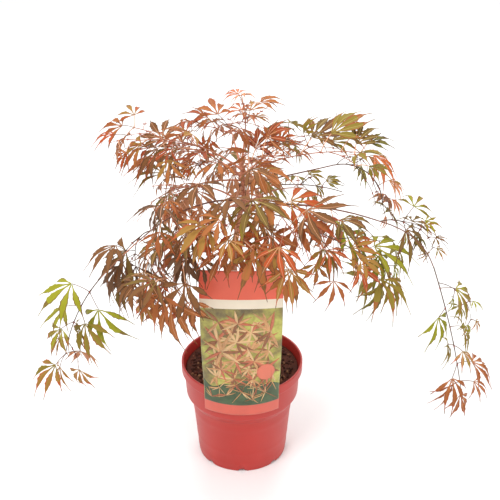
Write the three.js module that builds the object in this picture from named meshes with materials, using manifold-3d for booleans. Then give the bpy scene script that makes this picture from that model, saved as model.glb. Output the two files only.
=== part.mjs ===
// A young weeping japanese maple in a plastic nursery pot, with a picture card on the pot's front.
// Millimetres. +Z is up, the card faces -Y, and the origin is the centre of the pot's flat underside.
// Headings are degrees round +Z from +X, rises are degrees above the level.

import * as THREE from "three";
import { mergeVertices } from "three/addons/utils/BufferGeometryUtils.js";
import Module from "manifold-3d";

const wasm = await Module();
wasm.setup();

// ---------- Driving dimensions ----------

const GAP = 0.3; // running clearance between neighbouring solids
const POT = {
  height: 115,
  rimRadius: 65,
  lipHeight: 11,
  bandRadius: 62,
  bandLowRadius: 60.5,
  bandDepth: 33,
  shoulderRadius: 54,
  shoulderDepth: 47,
  baseRadius: 48,
  baseRound: 5,
  wall: 1.6,
  floor: 2.5,
  sides: 28,
  drains: 8,
  drainRadius: 4,
};
const SOIL = { rimDrop: 9, mound: 2, flatRadius: 18 };
const CARD = {
  width: 82,
  bottom: 86,
  top: 258,
  thickness: 0.9,
  stand: 65.6, // the back face's distance from the pot's axis, just clear of the lip
  tuck: 3.6, // how far the lower edge draws in under the lip
  wrapRadius: 66,
  topRadius: 320,
  columns: 8,
  rows: 9,
};
const SOIL_TOP = POT.height - SOIL.rimDrop + SOIL.mound;
const TRUNK = {
  // centre line, from the foot to the fork
  bends: [
    [2, 4, SOIL_TOP + GAP],
    [-3, 4, 165],
    [-8, 1, 225],
    [-4, 0, 272],
    [2, 0, 305],
    [0, 0, 339],
  ],
  radius: 4.6,
  tipRadius: 1.5,
  flare: 5,
  flareHeight: 9,
  taper: 1.1,
  crowding: 1.35, // the rings lie closer together in the root flare
  sides: 10,
  rings: 12,
};
const BOUGH = { tipRadius: 0.85, footRadius: 1.05, thickening: 0.005, sides: 5, rings: 5 };
const TWIG = { radius: 0.85, tipRadius: 0.6, sides: 3 };
const STALK = { rootRadius: 0.26, radius: 0.5, depth: 0.8, sunk: 0.1 };

// A bough springs from a parent limb at a share of its length, towards a heading and a rise, and
// over its length it loses `droop` degrees of rise and swings `turn` degrees of heading.
const BOUGHS = {
  leader: { on: "trunk", at: 1, heading: -4, rise: 80, length: 33, droop: -6, turn: 10 },
  left_top_bough: { on: "trunk", at: 0.98, heading: -173, rise: 40, length: 33, droop: 10, turn: 4 },
  left_mid_bough: { on: "trunk", at: 0.93, heading: -148, rise: 16, length: 30, droop: 8, turn: 0 },
  left_arm_bough: { on: "trunk", at: 0.84, heading: -152, rise: 15, length: 114, droop: 50, turn: 0 },
  left_arm_fall: { on: "left_arm_bough", at: 1, length: 54, droop: 16, turn: -34 },
  left_low_bough: { on: "trunk", at: 0.81, heading: -145, rise: 17, length: 39, droop: 22, turn: 6 },
  front_left_bough: { on: "trunk", at: 0.83, heading: -128, rise: 10, length: 38, droop: 24, turn: -4 },
  front_bough: { on: "trunk", at: 0.89, heading: -101, rise: 30, length: 32, droop: 22, turn: 6 },
  front_right_bough: { on: "trunk", at: 0.87, heading: -65, rise: 25, length: 38, droop: 24, turn: 8 },
  right_low_bough: { on: "trunk", at: 0.84, heading: -37, rise: 20, length: 40, droop: 20, turn: 6 },
  right_front_bough: { on: "trunk", at: 0.79, heading: -31, rise: 13, length: 71, droop: 30, turn: 8 },
  right_arm_bough: { on: "trunk", at: 0.81, heading: -21, rise: 16, length: 147, droop: 30, turn: 4 },
  right_arm_fall: { on: "right_arm_bough", at: 1, length: 62, droop: 56, turn: 2 },
  right_top_bough: { on: "trunk", at: 0.96, heading: -6, rise: 30, length: 39, droop: 12, turn: 0 },
  right_tuft_bough: { on: "trunk", at: 0.91, heading: -1, rise: 13, length: 88, droop: -4, turn: -6 },
  right_mid_bough: { on: "trunk", at: 0.87, heading: 18, rise: 15, length: 35, droop: 14, turn: -10 },
  back_top_bough: { on: "trunk", at: 0.99, heading: 107, rise: 35, length: 30, droop: 14, turn: -6 },
  back_left_bough: { on: "trunk", at: 0.94, heading: 139, rise: 22, length: 39, droop: 14, turn: -6 },
  back_right_bough: { on: "trunk", at: 0.95, heading: 40, rise: 26, length: 37, droop: 14, turn: 8 },
  back_bough: { on: "trunk", at: 0.88, heading: 80, rise: 22, length: 35, droop: 20, turn: 6 },
  back_left_low_bough: { on: "trunk", at: 0.82, heading: 132, rise: 14, length: 46, droop: 22, turn: 8 },
  back_right_low_bough: { on: "trunk", at: 0.80, heading: 47, rise: 16, length: 47, droop: 22, turn: -8 },
};

// A foliage mass grows on from its bough's tip: a drooping stem with a pair of leaves at each node,
// `shoots` side shoots, and leaves whose middle lobe is `leaf` long. `hang` is 0 where the blades
// lie level and 1 where they hang straight down, and `twist` turns the pairs round the stem, in
// radians. Some masses leave the side of a bough or of the trunk, at a share of its length.
const MASS_DEFAULTS = { at: 1, turn: 0, nodes: 3, shoots: 0, twist: 0 };
const MASSES = {
  top_foliage: {
    on: "leader", length: 30, droop: -19, turn: -64,
    nodes: 2, shoots: 2, leaf: 26, hang: 0.1,
  },
  left_top_foliage: {
    on: "left_top_bough", length: 78, droop: 44, turn: -16,
    nodes: 4, shoots: 2, leaf: 38, hang: 0.35,
  },
  left_mid_foliage: {
    on: "left_mid_bough", length: 62, droop: 45, turn: -2,
    shoots: 3, leaf: 42, hang: 0.5,
  },
  left_arm_foliage: {
    on: "left_arm_bough", at: 0.86, side: 1, length: 38, droop: 66,
    nodes: 2, shoots: 1, leaf: 46, hang: 0.8,
  },
  left_arm_tip_foliage: {
    on: "left_arm_fall", length: 92, droop: 26, turn: 36,
    nodes: 5, leaf: 38, hang: 0.5, twist: 0.9,
  },
  left_low_foliage: {
    on: "left_low_bough", length: 74, droop: 36, turn: -11,
    shoots: 3, leaf: 46, hang: 0.6,
  },
  front_left_foliage: {
    on: "front_left_bough", length: 78, droop: 56, turn: -8,
    shoots: 2, leaf: 54, hang: 0.75,
  },
  front_foliage: { on: "front_bough", length: 58, droop: 58, turn: 6, shoots: 2, leaf: 50, hang: 0.6 },
  front_right_foliage: {
    on: "front_right_bough", length: 69, droop: 48, turn: 1,
    shoots: 2, leaf: 54, hang: 0.65,
  },
  right_low_foliage: {
    on: "right_low_bough", length: 75, droop: 45, turn: 1,
    shoots: 2, leaf: 46, hang: 0.55,
  },
  right_front_foliage: {
    on: "right_front_bough", length: 82, droop: 9, turn: 9,
    shoots: 1, leaf: 50, hang: 0.65,
  },
  right_arm_foliage: {
    on: "right_arm_bough", at: 0.93, side: -1, length: 52, droop: 34,
    leaf: 38, hang: 0.4,
  },
  right_arm_tip_foliage: {
    on: "right_arm_fall", length: 134, droop: 8, turn: 24,
    nodes: 6, leaf: 38, hang: 0.5, twist: 0.9,
  },
  right_top_foliage: {
    on: "right_top_bough", length: 77, droop: 23, turn: 5,
    nodes: 4, shoots: 2, leaf: 42, hang: 0.15,
  },
  right_tuft_foliage: {
    on: "right_tuft_bough", length: 72, droop: 108, turn: -18,
    nodes: 4, leaf: 40, hang: 0.8, twist: 0.9,
  },
  right_mid_foliage: {
    on: "right_mid_bough", length: 63, droop: 13, turn: -23,
    shoots: 1, leaf: 28, hang: 0.3,
  },
  back_top_foliage: {
    on: "back_top_bough", length: 61, droop: 50, turn: -3,
    shoots: 2, leaf: 42, hang: 0.4,
  },
  back_left_foliage: {
    on: "back_left_bough", length: 78, droop: 46, turn: 9,
    shoots: 2, leaf: 44, hang: 0.5,
  },
  back_right_foliage: {
    on: "back_right_bough", length: 80, droop: 54, turn: -20,
    shoots: 1, leaf: 44, hang: 0.5,
  },
  back_foliage: { on: "back_bough", length: 85, droop: 53, turn: -1, shoots: 2, leaf: 50, hang: 0.65 },
  back_left_low_foliage: {
    on: "back_left_low_bough", length: 90, droop: 35, turn: -10,
    shoots: 1, leaf: 52, hang: 0.65,
  },
  back_right_low_foliage: {
    on: "back_right_low_bough", length: 89, droop: 43, turn: 9,
    shoots: 1, leaf: 52, hang: 0.65,
  },
  inner_front_foliage: {
    on: "trunk", at: 0.92, heading: -82, rise: 52, length: 34, droop: 30,
    nodes: 2, leaf: 38, hang: 0.4,
  },
  inner_left_foliage: {
    on: "trunk", at: 0.95, heading: 172, rise: 36, length: 34, droop: 30,
    nodes: 2, leaf: 38, hang: 0.4,
  },
  inner_right_foliage: {
    on: "trunk", at: 0.975, heading: -48, rise: 52, length: 34, droop: 30,
    nodes: 2, leaf: 36, hang: 0.3,
  },
  inner_back_foliage: {
    on: "trunk", at: 0.91, heading: 100, rise: 40, length: 34, droop: 30,
    nodes: 2, leaf: 38, hang: 0.4,
  },
};
const SIDE_STEM = { swing: 58, rise: 4 }; // degrees that a stem on a bough's side turns off it
const PAIR = { size: 1.08, fade: 0.25, lean: 0.35, nextLean: 1.25, endSize: 0.8 };
const SHOOT = {
  along: 0.7, // shares of the stem's way, the level and up that make a shoot's heading
  aside: 0.6,
  asideMore: 0.4,
  up: 0.3,
  length: 0.45, // as a share of the stem's length
  lengthMore: 0.2,
  droop: 25,
  nodes: 2,
  leaf: 0.92,
  twist: 0.5,
  taper: 0.12,
  clearFrom: 0.4, // the share of its length beyond which it must stand clear
};
// How a leaf sets itself: weights of the directions that its stalk, middle lobe and face follow.
const POSE = {
  stalk: { along: 0.45, side: 0.9, up: 0.25, hang: -0.35, stray: 0.8, least: 0.35, more: 0.3 },
  rib: { stalk: 0.75, out: 0.35, up: 0.15, hang: -1.1, stray: 0.7 },
  face: { up: 0.8, upHang: -0.6, out: 0.15, outHang: 0.45, light: 0.5, stray: 0.5 },
  size: { least: 0.85, more: 0.3 },
  curl: { least: 0.4, more: 1.6 },
};
const KEEP = {
  cell: 2.8,
  step: 2, // between the points that a limb or a stalk is tested at
  along: 14, // points tested from a blade's hub to its edge, and across between two edge points
  across: 8,
  stalkFrom: 0.45, // a stalk is tested beyond this share of its length
  border: 34, // how much nearer another mass's stem than its own a leaf may stand
  tries: 24,
  shrink: 0.35, // how much smaller the last try is
};
const SHARED = "several"; // the owner of a cell that lies next to two owners' things
const POT_KEEP = { radius: 70, top: 122 };

// The palmate leaf: one entry a lobe, as its angle from the middle lobe and its share of that length.
const LOBES = [
  [-112, 0.42],
  [-74, 0.74],
  [-37, 0.93],
  [0, 1],
  [37, 0.93],
  [74, 0.74],
  [112, 0.42],
];
const BLADE = {
  notch: 0.15, // how near the hub the cut between two lobes comes
  widest: 0.48, // where a lobe is widest, as a share of its length
  halfWidth: 0.12,
  heel: 0.09, // how far the heel stands behind the hub
  edgeAngle: 26, // degrees from the first lobe to the point before it
  curl: 0.16,
  sag: 0.12,
  thickness: 0.024,
  smallLeaf: 56, // leaves smaller than this have five lobes
};

// ---------- Materials ----------

function finish(color, roughness) {
  return new THREE.MeshStandardMaterial({ color, roughness, metalness: 0 });
}

const LEAF_COLOURS = [0xa5623a, 0xb5502f, 0x9a7a2c, 0xc2683f, 0x8f5a34];

// ---------- Vectors, seeded numbers and closed meshes ----------

const V = (x, y, z) => new THREE.Vector3(x, y, z);
const UP = V(0, 0, 1);
const LIGHT = V(0, -0.64, 0.77); // where the leaves turn their faces

// The sum of vectors, each given with its weight.
function blend(...terms) {
  return terms.reduce((sum, [vector, weight]) => sum.addScaledVector(vector, weight), V(0, 0, 0));
}

function heading(azimuth, rise) {
  const a = THREE.MathUtils.degToRad(azimuth);
  const r = THREE.MathUtils.degToRad(rise);
  return V(Math.cos(r) * Math.cos(a), Math.cos(r) * Math.sin(a), Math.sin(r));
}

// A stream of numbers from 0 to 1 that is the same for the same seed.
function seeded(seed) {
  let state = seed >>> 0;
  return () => {
    state = (state + 0x6d2b79f5) >>> 0;
    let t = state;
    t = Math.imul(t ^ (t >>> 15), t | 1);
    t ^= t + Math.imul(t ^ (t >>> 7), t | 61);
    return ((t ^ (t >>> 14)) >>> 0) / 4294967296;
  };
}

function closedMesh(points, faces) {
  const g = new THREE.BufferGeometry();
  g.setAttribute("position", new THREE.Float32BufferAttribute(points.flatMap((p) => [p.x, p.y, p.z]), 3));
  g.setIndex(faces.flat());
  return g;
}

// Shares a geometry's vertices and drops the faces that a pole or a seam squeezed to nothing.
function welded(geometry) {
  const bare = geometry.clone();
  bare.deleteAttribute("normal");
  bare.deleteAttribute("uv");
  const g = mergeVertices(bare, 1e-4);
  const faces = [];
  for (let i = 0; i < g.index.count; i += 3) {
    const [a, b, c] = [0, 1, 2].map((k) => g.index.getX(i + k));
    if (a !== b && b !== c && c !== a) faces.push(a, b, c);
  }
  g.setIndex(faces);
  return g;
}

function solid(geometry) {
  return new wasm.Manifold(
    new wasm.Mesh({
      numProp: 3,
      vertProperties: geometry.attributes.position.array,
      triVerts: new Uint32Array(geometry.index.array),
    }),
  );
}

// The largest body of a joined solid, as a geometry: a loose scrap and a sealed hollow are left out.
function geometryOf(made) {
  const bodies = made.decompose().sort((a, b) => b.volume() - a.volume());
  const mesh = bodies[0].getMesh();
  const g = new THREE.BufferGeometry();
  g.setAttribute("position", new THREE.BufferAttribute(new Float32Array(mesh.vertProperties), 3));
  g.setIndex(new THREE.BufferAttribute(new Uint32Array(mesh.triVerts), 1));
  return g;
}

// A tube with flat ends along a path, its section turned as little as it can be from ring to ring.
// `foot` is the way the first ring faces, where that isn't along the path.
function tube(path, radii, sides, foot = null) {
  const rings = [];
  let side = null;
  path.forEach((p, i) => {
    const run = V(0, 0, 0).subVectors(path[Math.min(i + 1, path.length - 1)], path[Math.max(i - 1, 0)]);
    const along = i === 0 && foot ? foot : run.normalize();
    side ??= Math.abs(along.z) < 0.9 ? UP.clone() : V(1, 0, 0);
    side = side.addScaledVector(along, -side.dot(along)).normalize();
    const other = V(0, 0, 0).crossVectors(along, side);
    for (let k = 0; k < sides; k++) {
      const a = (2 * Math.PI * k) / sides;
      rings.push(blend([p, 1], [side, radii[i] * Math.cos(a)], [other, radii[i] * Math.sin(a)]));
    }
  });
  const faces = [];
  const last = (path.length - 1) * sides;
  for (let i = 0; i < path.length - 1; i++)
    for (let k = 0; k < sides; k++) {
      const [a, b] = [i * sides + k, i * sides + ((k + 1) % sides)];
      faces.push([a, b, b + sides], [a, b + sides, a + sides]);
    }
  for (let k = 1; k < sides - 1; k++) faces.push([0, k + 1, k], [last, last + k, last + k + 1]);
  return closedMesh(rings, faces);
}

// ---------- Limb paths ----------

// A point on the smooth line through the given points, at a share of the way from first to last.
function through(points, share) {
  const x = Math.min(Math.max(share, 0), 1) * (points.length - 1);
  const k = Math.min(Math.floor(x), points.length - 2);
  const u = x - k;
  const last = points.length - 1;
  const [p0, p1, p2, p3] = [-1, 0, 1, 2].map((i) => points[Math.min(Math.max(k + i, 0), last)]);
  return V(
    ...[0, 1, 2].map(
      (c) =>
        0.5 *
        (2 * p1[c] +
          (p2[c] - p0[c]) * u +
          (2 * p0[c] - 5 * p1[c] + 4 * p2[c] - p3[c]) * u * u +
          (3 * p1[c] - p0[c] - 3 * p2[c] + p3[c]) * u * u * u),
    ),
  );
}

// A path of equal steps that leaves `start` and bends evenly by its droop and its turn.
function bentPath(start, limb, steps) {
  const path = [start.clone()];
  for (let i = 0; i < steps; i++) {
    const share = (i + 0.5) / steps;
    const step = heading(limb.heading + limb.turn * share, limb.rise - limb.droop * share);
    path.push(path[i].clone().addScaledVector(step, limb.length / steps));
  }
  return path;
}

// The place, direction and radius at a share of a limb's length.
function onLimb(limb, share) {
  const { path, radii } = limb;
  const steps = path.slice(1).map((p, i) => p.distanceTo(path[i]));
  let left = share * steps.reduce((sum, step) => sum + step, 0);
  let k = 0;
  while (k < steps.length - 1 && left > steps[k]) {
    left -= steps[k];
    k += 1;
  }
  const part = Math.min(left / steps[k], 1);
  const point = path[k].clone().lerp(path[k + 1], part);
  const along = V(0, 0, 0).subVectors(path[k + 1], path[k]).normalize();
  return { point, along, radius: THREE.MathUtils.lerp(radii[k], radii[k + 1], part) };
}

// Where a limb of the given foot radius starts so that it stands just clear of its parent: straight
// on from the parent's tip, or off its side at the distance where its foot's lower edge clears it.
function springPoint(parent, share, direction, footRadius) {
  const { point, along, radius } = onLimb(parent, share);
  const lean = along.angleTo(direction);
  if (share === 1) return point.addScaledVector(along, GAP + footRadius * Math.sin(lean));
  const reach = (radius + GAP + footRadius * Math.abs(Math.cos(lean))) / Math.sin(lean);
  return point.addScaledVector(direction, reach);
}

// A limb's own heading and rise, or those of the end of the limb it carries on from.
function direct(limb, parent) {
  if (limb.heading !== undefined) return limb;
  if (limb.side === undefined)
    return { ...limb, heading: parent.heading + parent.turn, rise: parent.rise - parent.droop };
  return {
    ...limb,
    heading: parent.heading + parent.turn * limb.at - limb.side * SIDE_STEM.swing,
    rise: parent.rise - parent.droop * limb.at + SIDE_STEM.rise,
  };
}

function makeTrunk() {
  const path = [];
  const radii = [];
  for (let i = 0; i < TRUNK.rings; i++) {
    const share = (i / (TRUNK.rings - 1)) ** TRUNK.crowding;
    const p = through(TRUNK.bends, share);
    const rise = p.z - TRUNK.bends[0][2];
    path.push(p);
    const stem = THREE.MathUtils.lerp(TRUNK.tipRadius, TRUNK.radius, (1 - share) ** TRUNK.taper);
    radii.push(stem + TRUNK.flare * Math.exp(-rise / TRUNK.flareHeight));
  }
  return { path, radii, sides: TRUNK.sides, foot: UP };
}

function makeBough(limb, parent) {
  const bough = direct(limb, parent);
  const foot = limb.at === 1 ? parent.radii.at(-1) : BOUGH.footRadius + limb.length * BOUGH.thickening;
  const start = springPoint(parent, limb.at, heading(bough.heading, bough.rise), foot);
  const path = bentPath(start, bough, BOUGH.rings - 1);
  const radii = path.map((p, i) => THREE.MathUtils.lerp(foot, BOUGH.tipRadius, i / (path.length - 1)));
  return { ...bough, path, radii, sides: BOUGH.sides };
}

// ---------- Foliage ----------

function makeStem(mass, parent) {
  const stem = direct({ ...MASS_DEFAULTS, ...mass }, parent);
  const start = springPoint(parent, stem.at, heading(stem.heading, stem.rise), TWIG.radius);
  const path = bentPath(start, stem, 2 * stem.nodes);
  const radii = path.map((p, i) => THREE.MathUtils.lerp(TWIG.radius, TWIG.tipRadius, i / (path.length - 1)));
  return { ...stem, path, radii };
}

function distanceToPath(p, path) {
  let least = Infinity;
  for (let i = 0; i < path.length - 1; i++) {
    const run = V(0, 0, 0).subVectors(path[i + 1], path[i]);
    const off = V(0, 0, 0).subVectors(p, path[i]);
    const share = Math.min(Math.max(off.dot(run) / run.lengthSq(), 0), 1);
    least = Math.min(least, off.addScaledVector(run, -share).length());
  }
  return least;
}

// Space as a grid of small cells. What stands in a cell takes it, and keeps the cells next to it
// from every other owner, so that two owners' things are at least one cell apart. A twig's owner is
// its mass, and each leaf is its own owner.
class Cells {
  constructor(size) {
    this.size = size;
    this.taken = new Set();
    this.keptBy = new Map();
  }
  key(i, j, k) {
    return ((i + 512) * 1024 + (j + 512)) * 1024 + (k + 512);
  }
  cell(p) {
    return [p.x, p.y, p.z].map((v) => Math.floor(v / this.size));
  }
  take(points, owner) {
    for (const p of points) {
      const [i, j, k] = this.cell(p);
      this.taken.add(this.key(i, j, k));
      for (const a of [-1, 0, 1])
        for (const b of [-1, 0, 1])
          for (const c of [-1, 0, 1]) {
            const near = this.key(i + a, j + b, k + c);
            this.keptBy.set(near, [undefined, owner].includes(this.keptBy.get(near)) ? owner : SHARED);
          }
    }
  }
  free(points, owner) {
    return points.every((p) => {
      const key = this.key(...this.cell(p));
      return !this.taken.has(key) && [undefined, owner].includes(this.keptBy.get(key));
    });
  }
}

// Points along a path, no more than `step` apart, from a share of it onwards.
function pointsAlong(path, step, from = 0) {
  const length = path.slice(1).reduce((sum, p, i) => sum + p.distanceTo(path[i]), 0);
  const count = Math.ceil((length * (1 - from)) / step);
  const shares = Array.from({ length: count + 1 }, (_, i) => from + ((1 - from) * i) / count);
  return shares.map((share) => onLimb({ path, radii: path }, share).point);
}

// True where a point keeps off the pot and lies about as near its own mass's stem as any other's.
function inSpace(p, own, plant) {
  if (p.z < POT_KEEP.top && Math.hypot(p.x, p.y) < POT_KEEP.radius) return false;
  const home = distanceToPath(p, plant.stems[own].path);
  return Object.entries(plant.stems).every(
    ([name, stem]) => name === own || distanceToPath(p, stem.path) > home - KEEP.border,
  );
}

// A blade's outline round its hub, four points a lobe, each lobe arched down towards its tip, and
// last the heel's two corners, where the stalk comes in.
function bladeOutline(leaf) {
  const across = V(0, 0, 0).crossVectors(leaf.rib, leaf.face);
  const lobes = leaf.size < BLADE.smallLeaf ? LOBES.slice(1, -1) : LOBES;
  const at = (angle, reach, aside) => {
    const a = THREE.MathUtils.degToRad(angle);
    const out = blend([leaf.rib, Math.cos(a)], [across, Math.sin(a)]);
    const beside = blend([leaf.rib, -Math.sin(a)], [across, Math.cos(a)]);
    const bow = (reach / leaf.size) ** 2 * leaf.size;
    const down = [[leaf.face, -BLADE.curl * leaf.curl * bow], [UP, -BLADE.sag * bow]];
    return blend([leaf.hub, 1], [out, reach], [beside, aside], ...down);
  };
  const outline = [];
  lobes.forEach(([angle, share], i) => {
    const length = leaf.size * share;
    const before = i === 0 ? angle - BLADE.edgeAngle : (angle + lobes[i - 1][0]) / 2;
    outline.push(at(before, leaf.size * BLADE.notch, 0));
    outline.push(at(angle, length * BLADE.widest, -length * BLADE.halfWidth));
    outline.push(at(angle, length, 0));
    outline.push(at(angle, length * BLADE.widest, length * BLADE.halfWidth));
  });
  for (const aside of [-STALK.radius, STALK.radius]) outline.push(at(180, leaf.size * BLADE.heel, aside));
  return outline;
}

// A leaf as one closed mesh. The blade is two fans, one over and one under the hub, that meet along
// the outline, and the three-sided stalk grows out of the heel, where the lower fan leaves it room.
function leafGeometry(leaf) {
  const outline = bladeOutline(leaf);
  const half = (leaf.size * BLADE.thickness) / 2;
  const n = outline.length;
  const [over, under, keel] = [n, n + 1, n + 2];
  const [left, right] = [n - 2, n - 1];
  const heel = outline[left].clone().lerp(outline[right], 0.5);
  const points = [
    ...outline,
    blend([leaf.hub, 1], [leaf.face, half]),
    blend([leaf.hub, 1], [leaf.face, -half]),
    blend([heel, 1], [leaf.face, -STALK.depth]),
  ];
  const faces = [];
  for (let i = 0; i < n; i++) {
    faces.push([over, (i + 1) % n, i]);
    if (i !== left) faces.push([under, i, (i + 1) % n]);
  }
  faces.push([under, left, keel], [under, keel, right]);
  const ring = [left, right, keel];
  const narrow = STALK.rootRadius / STALK.radius;
  const root = blend([leaf.node, 1], [blend([leaf.node, 1], [heel, -1]).normalize(), STALK.sunk]);
  const foot = ring.map((i) => points.push(blend([root, 1], [points[i], narrow], [heel, -narrow])) - 1);
  ring.forEach((a, k) => {
    const m = (k + 1) % 3;
    faces.push([a, ring[m], foot[m]], [a, foot[m], foot[k]]);
  });
  faces.push(foot);
  return closedMesh(points, faces);
}

// One try at a leaf: a stalk that leaves the node sideways, and a blade that faces out, up and to
// the light.
function tryLeaf(mass, site, size, draw) {
  const { stalk: s, rib: r, face: f } = POSE;
  const stray = () => V(draw() - 0.5, draw() - 0.5, draw() - 0.5);
  const way = blend([site.along, s.along], [site.side, s.side], [UP, s.up + s.hang * mass.hang]);
  const stalk = way.addScaledVector(stray(), s.stray).normalize();
  const hub = blend([site.node, 1], [stalk, size * (s.least + s.more * draw())]);
  const outward = V(hub.x, hub.y, 0).normalize();
  const run = blend([stalk, r.stalk], [outward, r.out], [UP, r.up + r.hang * mass.hang]);
  const rib = run.addScaledVector(stray(), r.stray).normalize();
  const top = blend([UP, f.up + f.upHang * mass.hang], [outward, f.out + f.outHang * mass.hang]);
  const face = top.addScaledVector(LIGHT, f.light).addScaledVector(stray(), f.stray);
  face.addScaledVector(rib, -face.dot(rib)).normalize();
  const middle = size * (POSE.size.least + POSE.size.more * draw());
  return { node: site.node, hub, rib, face, size: middle, curl: POSE.curl.least + POSE.curl.more * draw() };
}

// Points spread over a blade, close enough that nothing passes between them.
function bladeProbes(leaf, outline) {
  const probes = [];
  outline.forEach((a, i) => {
    const b = outline[(i + 1) % outline.length];
    for (let r = 1; r <= KEEP.along; r++)
      for (let c = 0; c < KEEP.across; c++)
        probes.push(leaf.hub.clone().lerp(a.clone().lerp(b, c / KEEP.across), r / KEEP.along));
  });
  return probes;
}

// A pair of sites at each of a twig's nodes, and one at its end.
function dressTwig(own, path, nodes, size, twist) {
  const sites = [];
  for (let i = 1; i <= nodes; i++) {
    const share = i / nodes;
    const { point, along } = onLimb({ path, radii: path }, share);
    const level = V(0, 0, 0).crossVectors(UP, along).normalize();
    const side = level.applyAxisAngle(along, (i % 2 ? PAIR.lean : PAIR.nextLean) + twist);
    const here = size * (PAIR.size - PAIR.fade * share);
    sites.push({ own, node: point, along, side, size: here });
    sites.push({ own, node: point, along, side: side.clone().negate(), size: here });
  }
  const end = onLimb({ path, radii: path }, 1);
  sites.push({ own, node: end.point, along: end.along, side: end.along, size: size * PAIR.endSize });
  return sites;
}

// The path of the side shoot number `s` of a mass.
function shootPath(mass, s, draw) {
  const { point, along } = onLimb(mass, (s + 0.5) / (mass.shoots + 0.5));
  const level = V(0, 0, 0).crossVectors(UP, along).normalize();
  const aside = (s % 2 ? -1 : 1) * (SHOOT.aside + SHOOT.asideMore * draw());
  const way = blend([along, SHOOT.along], [level, aside], [UP, SHOOT.up * draw()]).normalize();
  const shoot = {
    heading: THREE.MathUtils.radToDeg(Math.atan2(way.y, way.x)),
    rise: THREE.MathUtils.radToDeg(Math.asin(way.z)),
    length: mass.length * (SHOOT.length + SHOOT.lengthMore * draw()),
    droop: SHOOT.droop,
    turn: 0,
  };
  return bentPath(point, shoot, SHOOT.nodes);
}

// A mass's stem and side shoots, and the places where leaves stand on them.
function growTwigs(own, plant, cells, seed) {
  const mass = plant.stems[own];
  const twigs = [{ path: mass.path, radii: mass.radii }];
  const sites = dressTwig(own, mass.path, mass.nodes, mass.leaf, mass.twist);
  for (let s = 0; s < mass.shoots; s++) {
    const path = shootPath(mass, s, seeded(seed * 4096 + s));
    const probes = pointsAlong(path, KEEP.step, SHOOT.clearFrom);
    if (!cells.free(probes, own) || !probes.every((p) => inSpace(p, own, plant))) continue;
    cells.take(probes, own);
    twigs.push({ path, radii: path.map((p, i) => TWIG.radius * (1 - SHOOT.taper * (i + 1))) });
    sites.push(...dressTwig(own, path, SHOOT.nodes, mass.leaf * SHOOT.leaf, SHOOT.twist));
  }
  return { own, twigs, sites, leaves: [] };
}

// Puts a leaf on a site where one of a few tries keeps to its mass's space and touches nothing.
function placeLeaf(site, plant, cells, seed) {
  const mass = plant.stems[site.own];
  for (let t = 0; t < KEEP.tries; t++) {
    const size = site.size * (1 - (KEEP.shrink * t) / KEEP.tries);
    const leaf = tryLeaf(mass, site, size, seeded(seed * 64 + t));
    const outline = bladeOutline(leaf);
    if (![leaf.hub, ...outline].every((p) => inSpace(p, site.own, plant))) continue;
    const stalk = pointsAlong([leaf.node, leaf.hub], KEEP.step, KEEP.stalkFrom);
    const probes = [...stalk, ...bladeProbes(leaf, outline)];
    if (!cells.free(probes, site.own)) continue;
    cells.take(probes, seed);
    return leaf;
  }
  return null;
}

// Grows every mass at once, a leaf at a time in turn, so that none takes its neighbours' room.
function growFoliage(plant) {
  const cells = new Cells(KEEP.cell);
  for (const [name, limb] of [...Object.entries(plant.limbs), ...Object.entries(plant.stems)])
    cells.take(pointsAlong(limb.path, KEEP.step), name);
  cells.take(cardPoints(KEEP.step), "card");
  const masses = Object.keys(plant.stems).map((own, i) => growTwigs(own, plant, cells, i + 1));
  const most = Math.max(...masses.map((m) => m.sites.length));
  for (let k = 0; k < most; k++)
    masses.forEach((mass, i) => {
      const leaf = k < mass.sites.length && placeLeaf(mass.sites[k], plant, cells, (i + 1) * 64 + k);
      if (leaf) mass.leaves.push(leaf);
    });
  return masses;
}

// One mass as one solid: its twigs and its leaves, joined with the stalks' roots sunk in the twigs.
function massGeometry(mass) {
  const twigs = mass.twigs.map((t) => solid(tube(t.path, t.radii, TWIG.sides)));
  const leaves = mass.leaves.map((leaf) => solid(leafGeometry(leaf)));
  return geometryOf([...twigs, ...leaves].reduce((all, part) => all.add(part)));
}

// ---------- Pot, soil and card ----------

// A profile of [radius, height] points, turned round +Z.
function turned(profile, sides) {
  const lathe = new THREE.LatheGeometry(profile.map(([r, z]) => new THREE.Vector2(r, z)), sides);
  return welded(lathe.rotateX(Math.PI / 2));
}

function potInside() {
  const { height: h, wall } = POT;
  return [
    [POT.baseRadius - POT.baseRound, POT.floor],
    [POT.baseRadius - wall, POT.floor + POT.baseRound],
    [POT.shoulderRadius - wall, h - POT.shoulderDepth],
    [POT.bandLowRadius - wall, h - POT.bandDepth],
    [POT.bandRadius - wall, h - POT.lipHeight - 1],
  ];
}

function makePot() {
  const { height: h, wall } = POT;
  const foot = [0, 1, 2, 3].map((i) => {
    const a = (i / 3) * (Math.PI / 2);
    return [
      POT.baseRadius - POT.baseRound * (1 - Math.sin(a)),
      POT.baseRound * (1 - Math.cos(a)),
    ];
  });
  const outside = [
    ...foot,
    [POT.shoulderRadius, h - POT.shoulderDepth],
    [POT.bandLowRadius, h - POT.bandDepth],
    [POT.bandRadius, h - POT.lipHeight - 1],
    [POT.rimRadius, h - POT.lipHeight],
    [POT.rimRadius, h - 1],
    [POT.rimRadius - 1, h],
    [POT.rimRadius - wall - 0.6, h],
  ];
  const inside = potInside().reverse();
  let pot = solid(turned([[0, 0], ...outside, ...inside, [0, POT.floor]], POT.sides));
  for (let i = 0; i < POT.drains; i++) {
    const slot = new THREE.CylinderGeometry(POT.drainRadius, POT.drainRadius, 14, 6);
    slot.translate(0, POT.baseRadius, 0);
    slot.rotateZ(((i + 0.5) / POT.drains) * 2 * Math.PI);
    pot = pot.subtract(solid(welded(slot)));
  }
  return geometryOf(pot);
}

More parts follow.
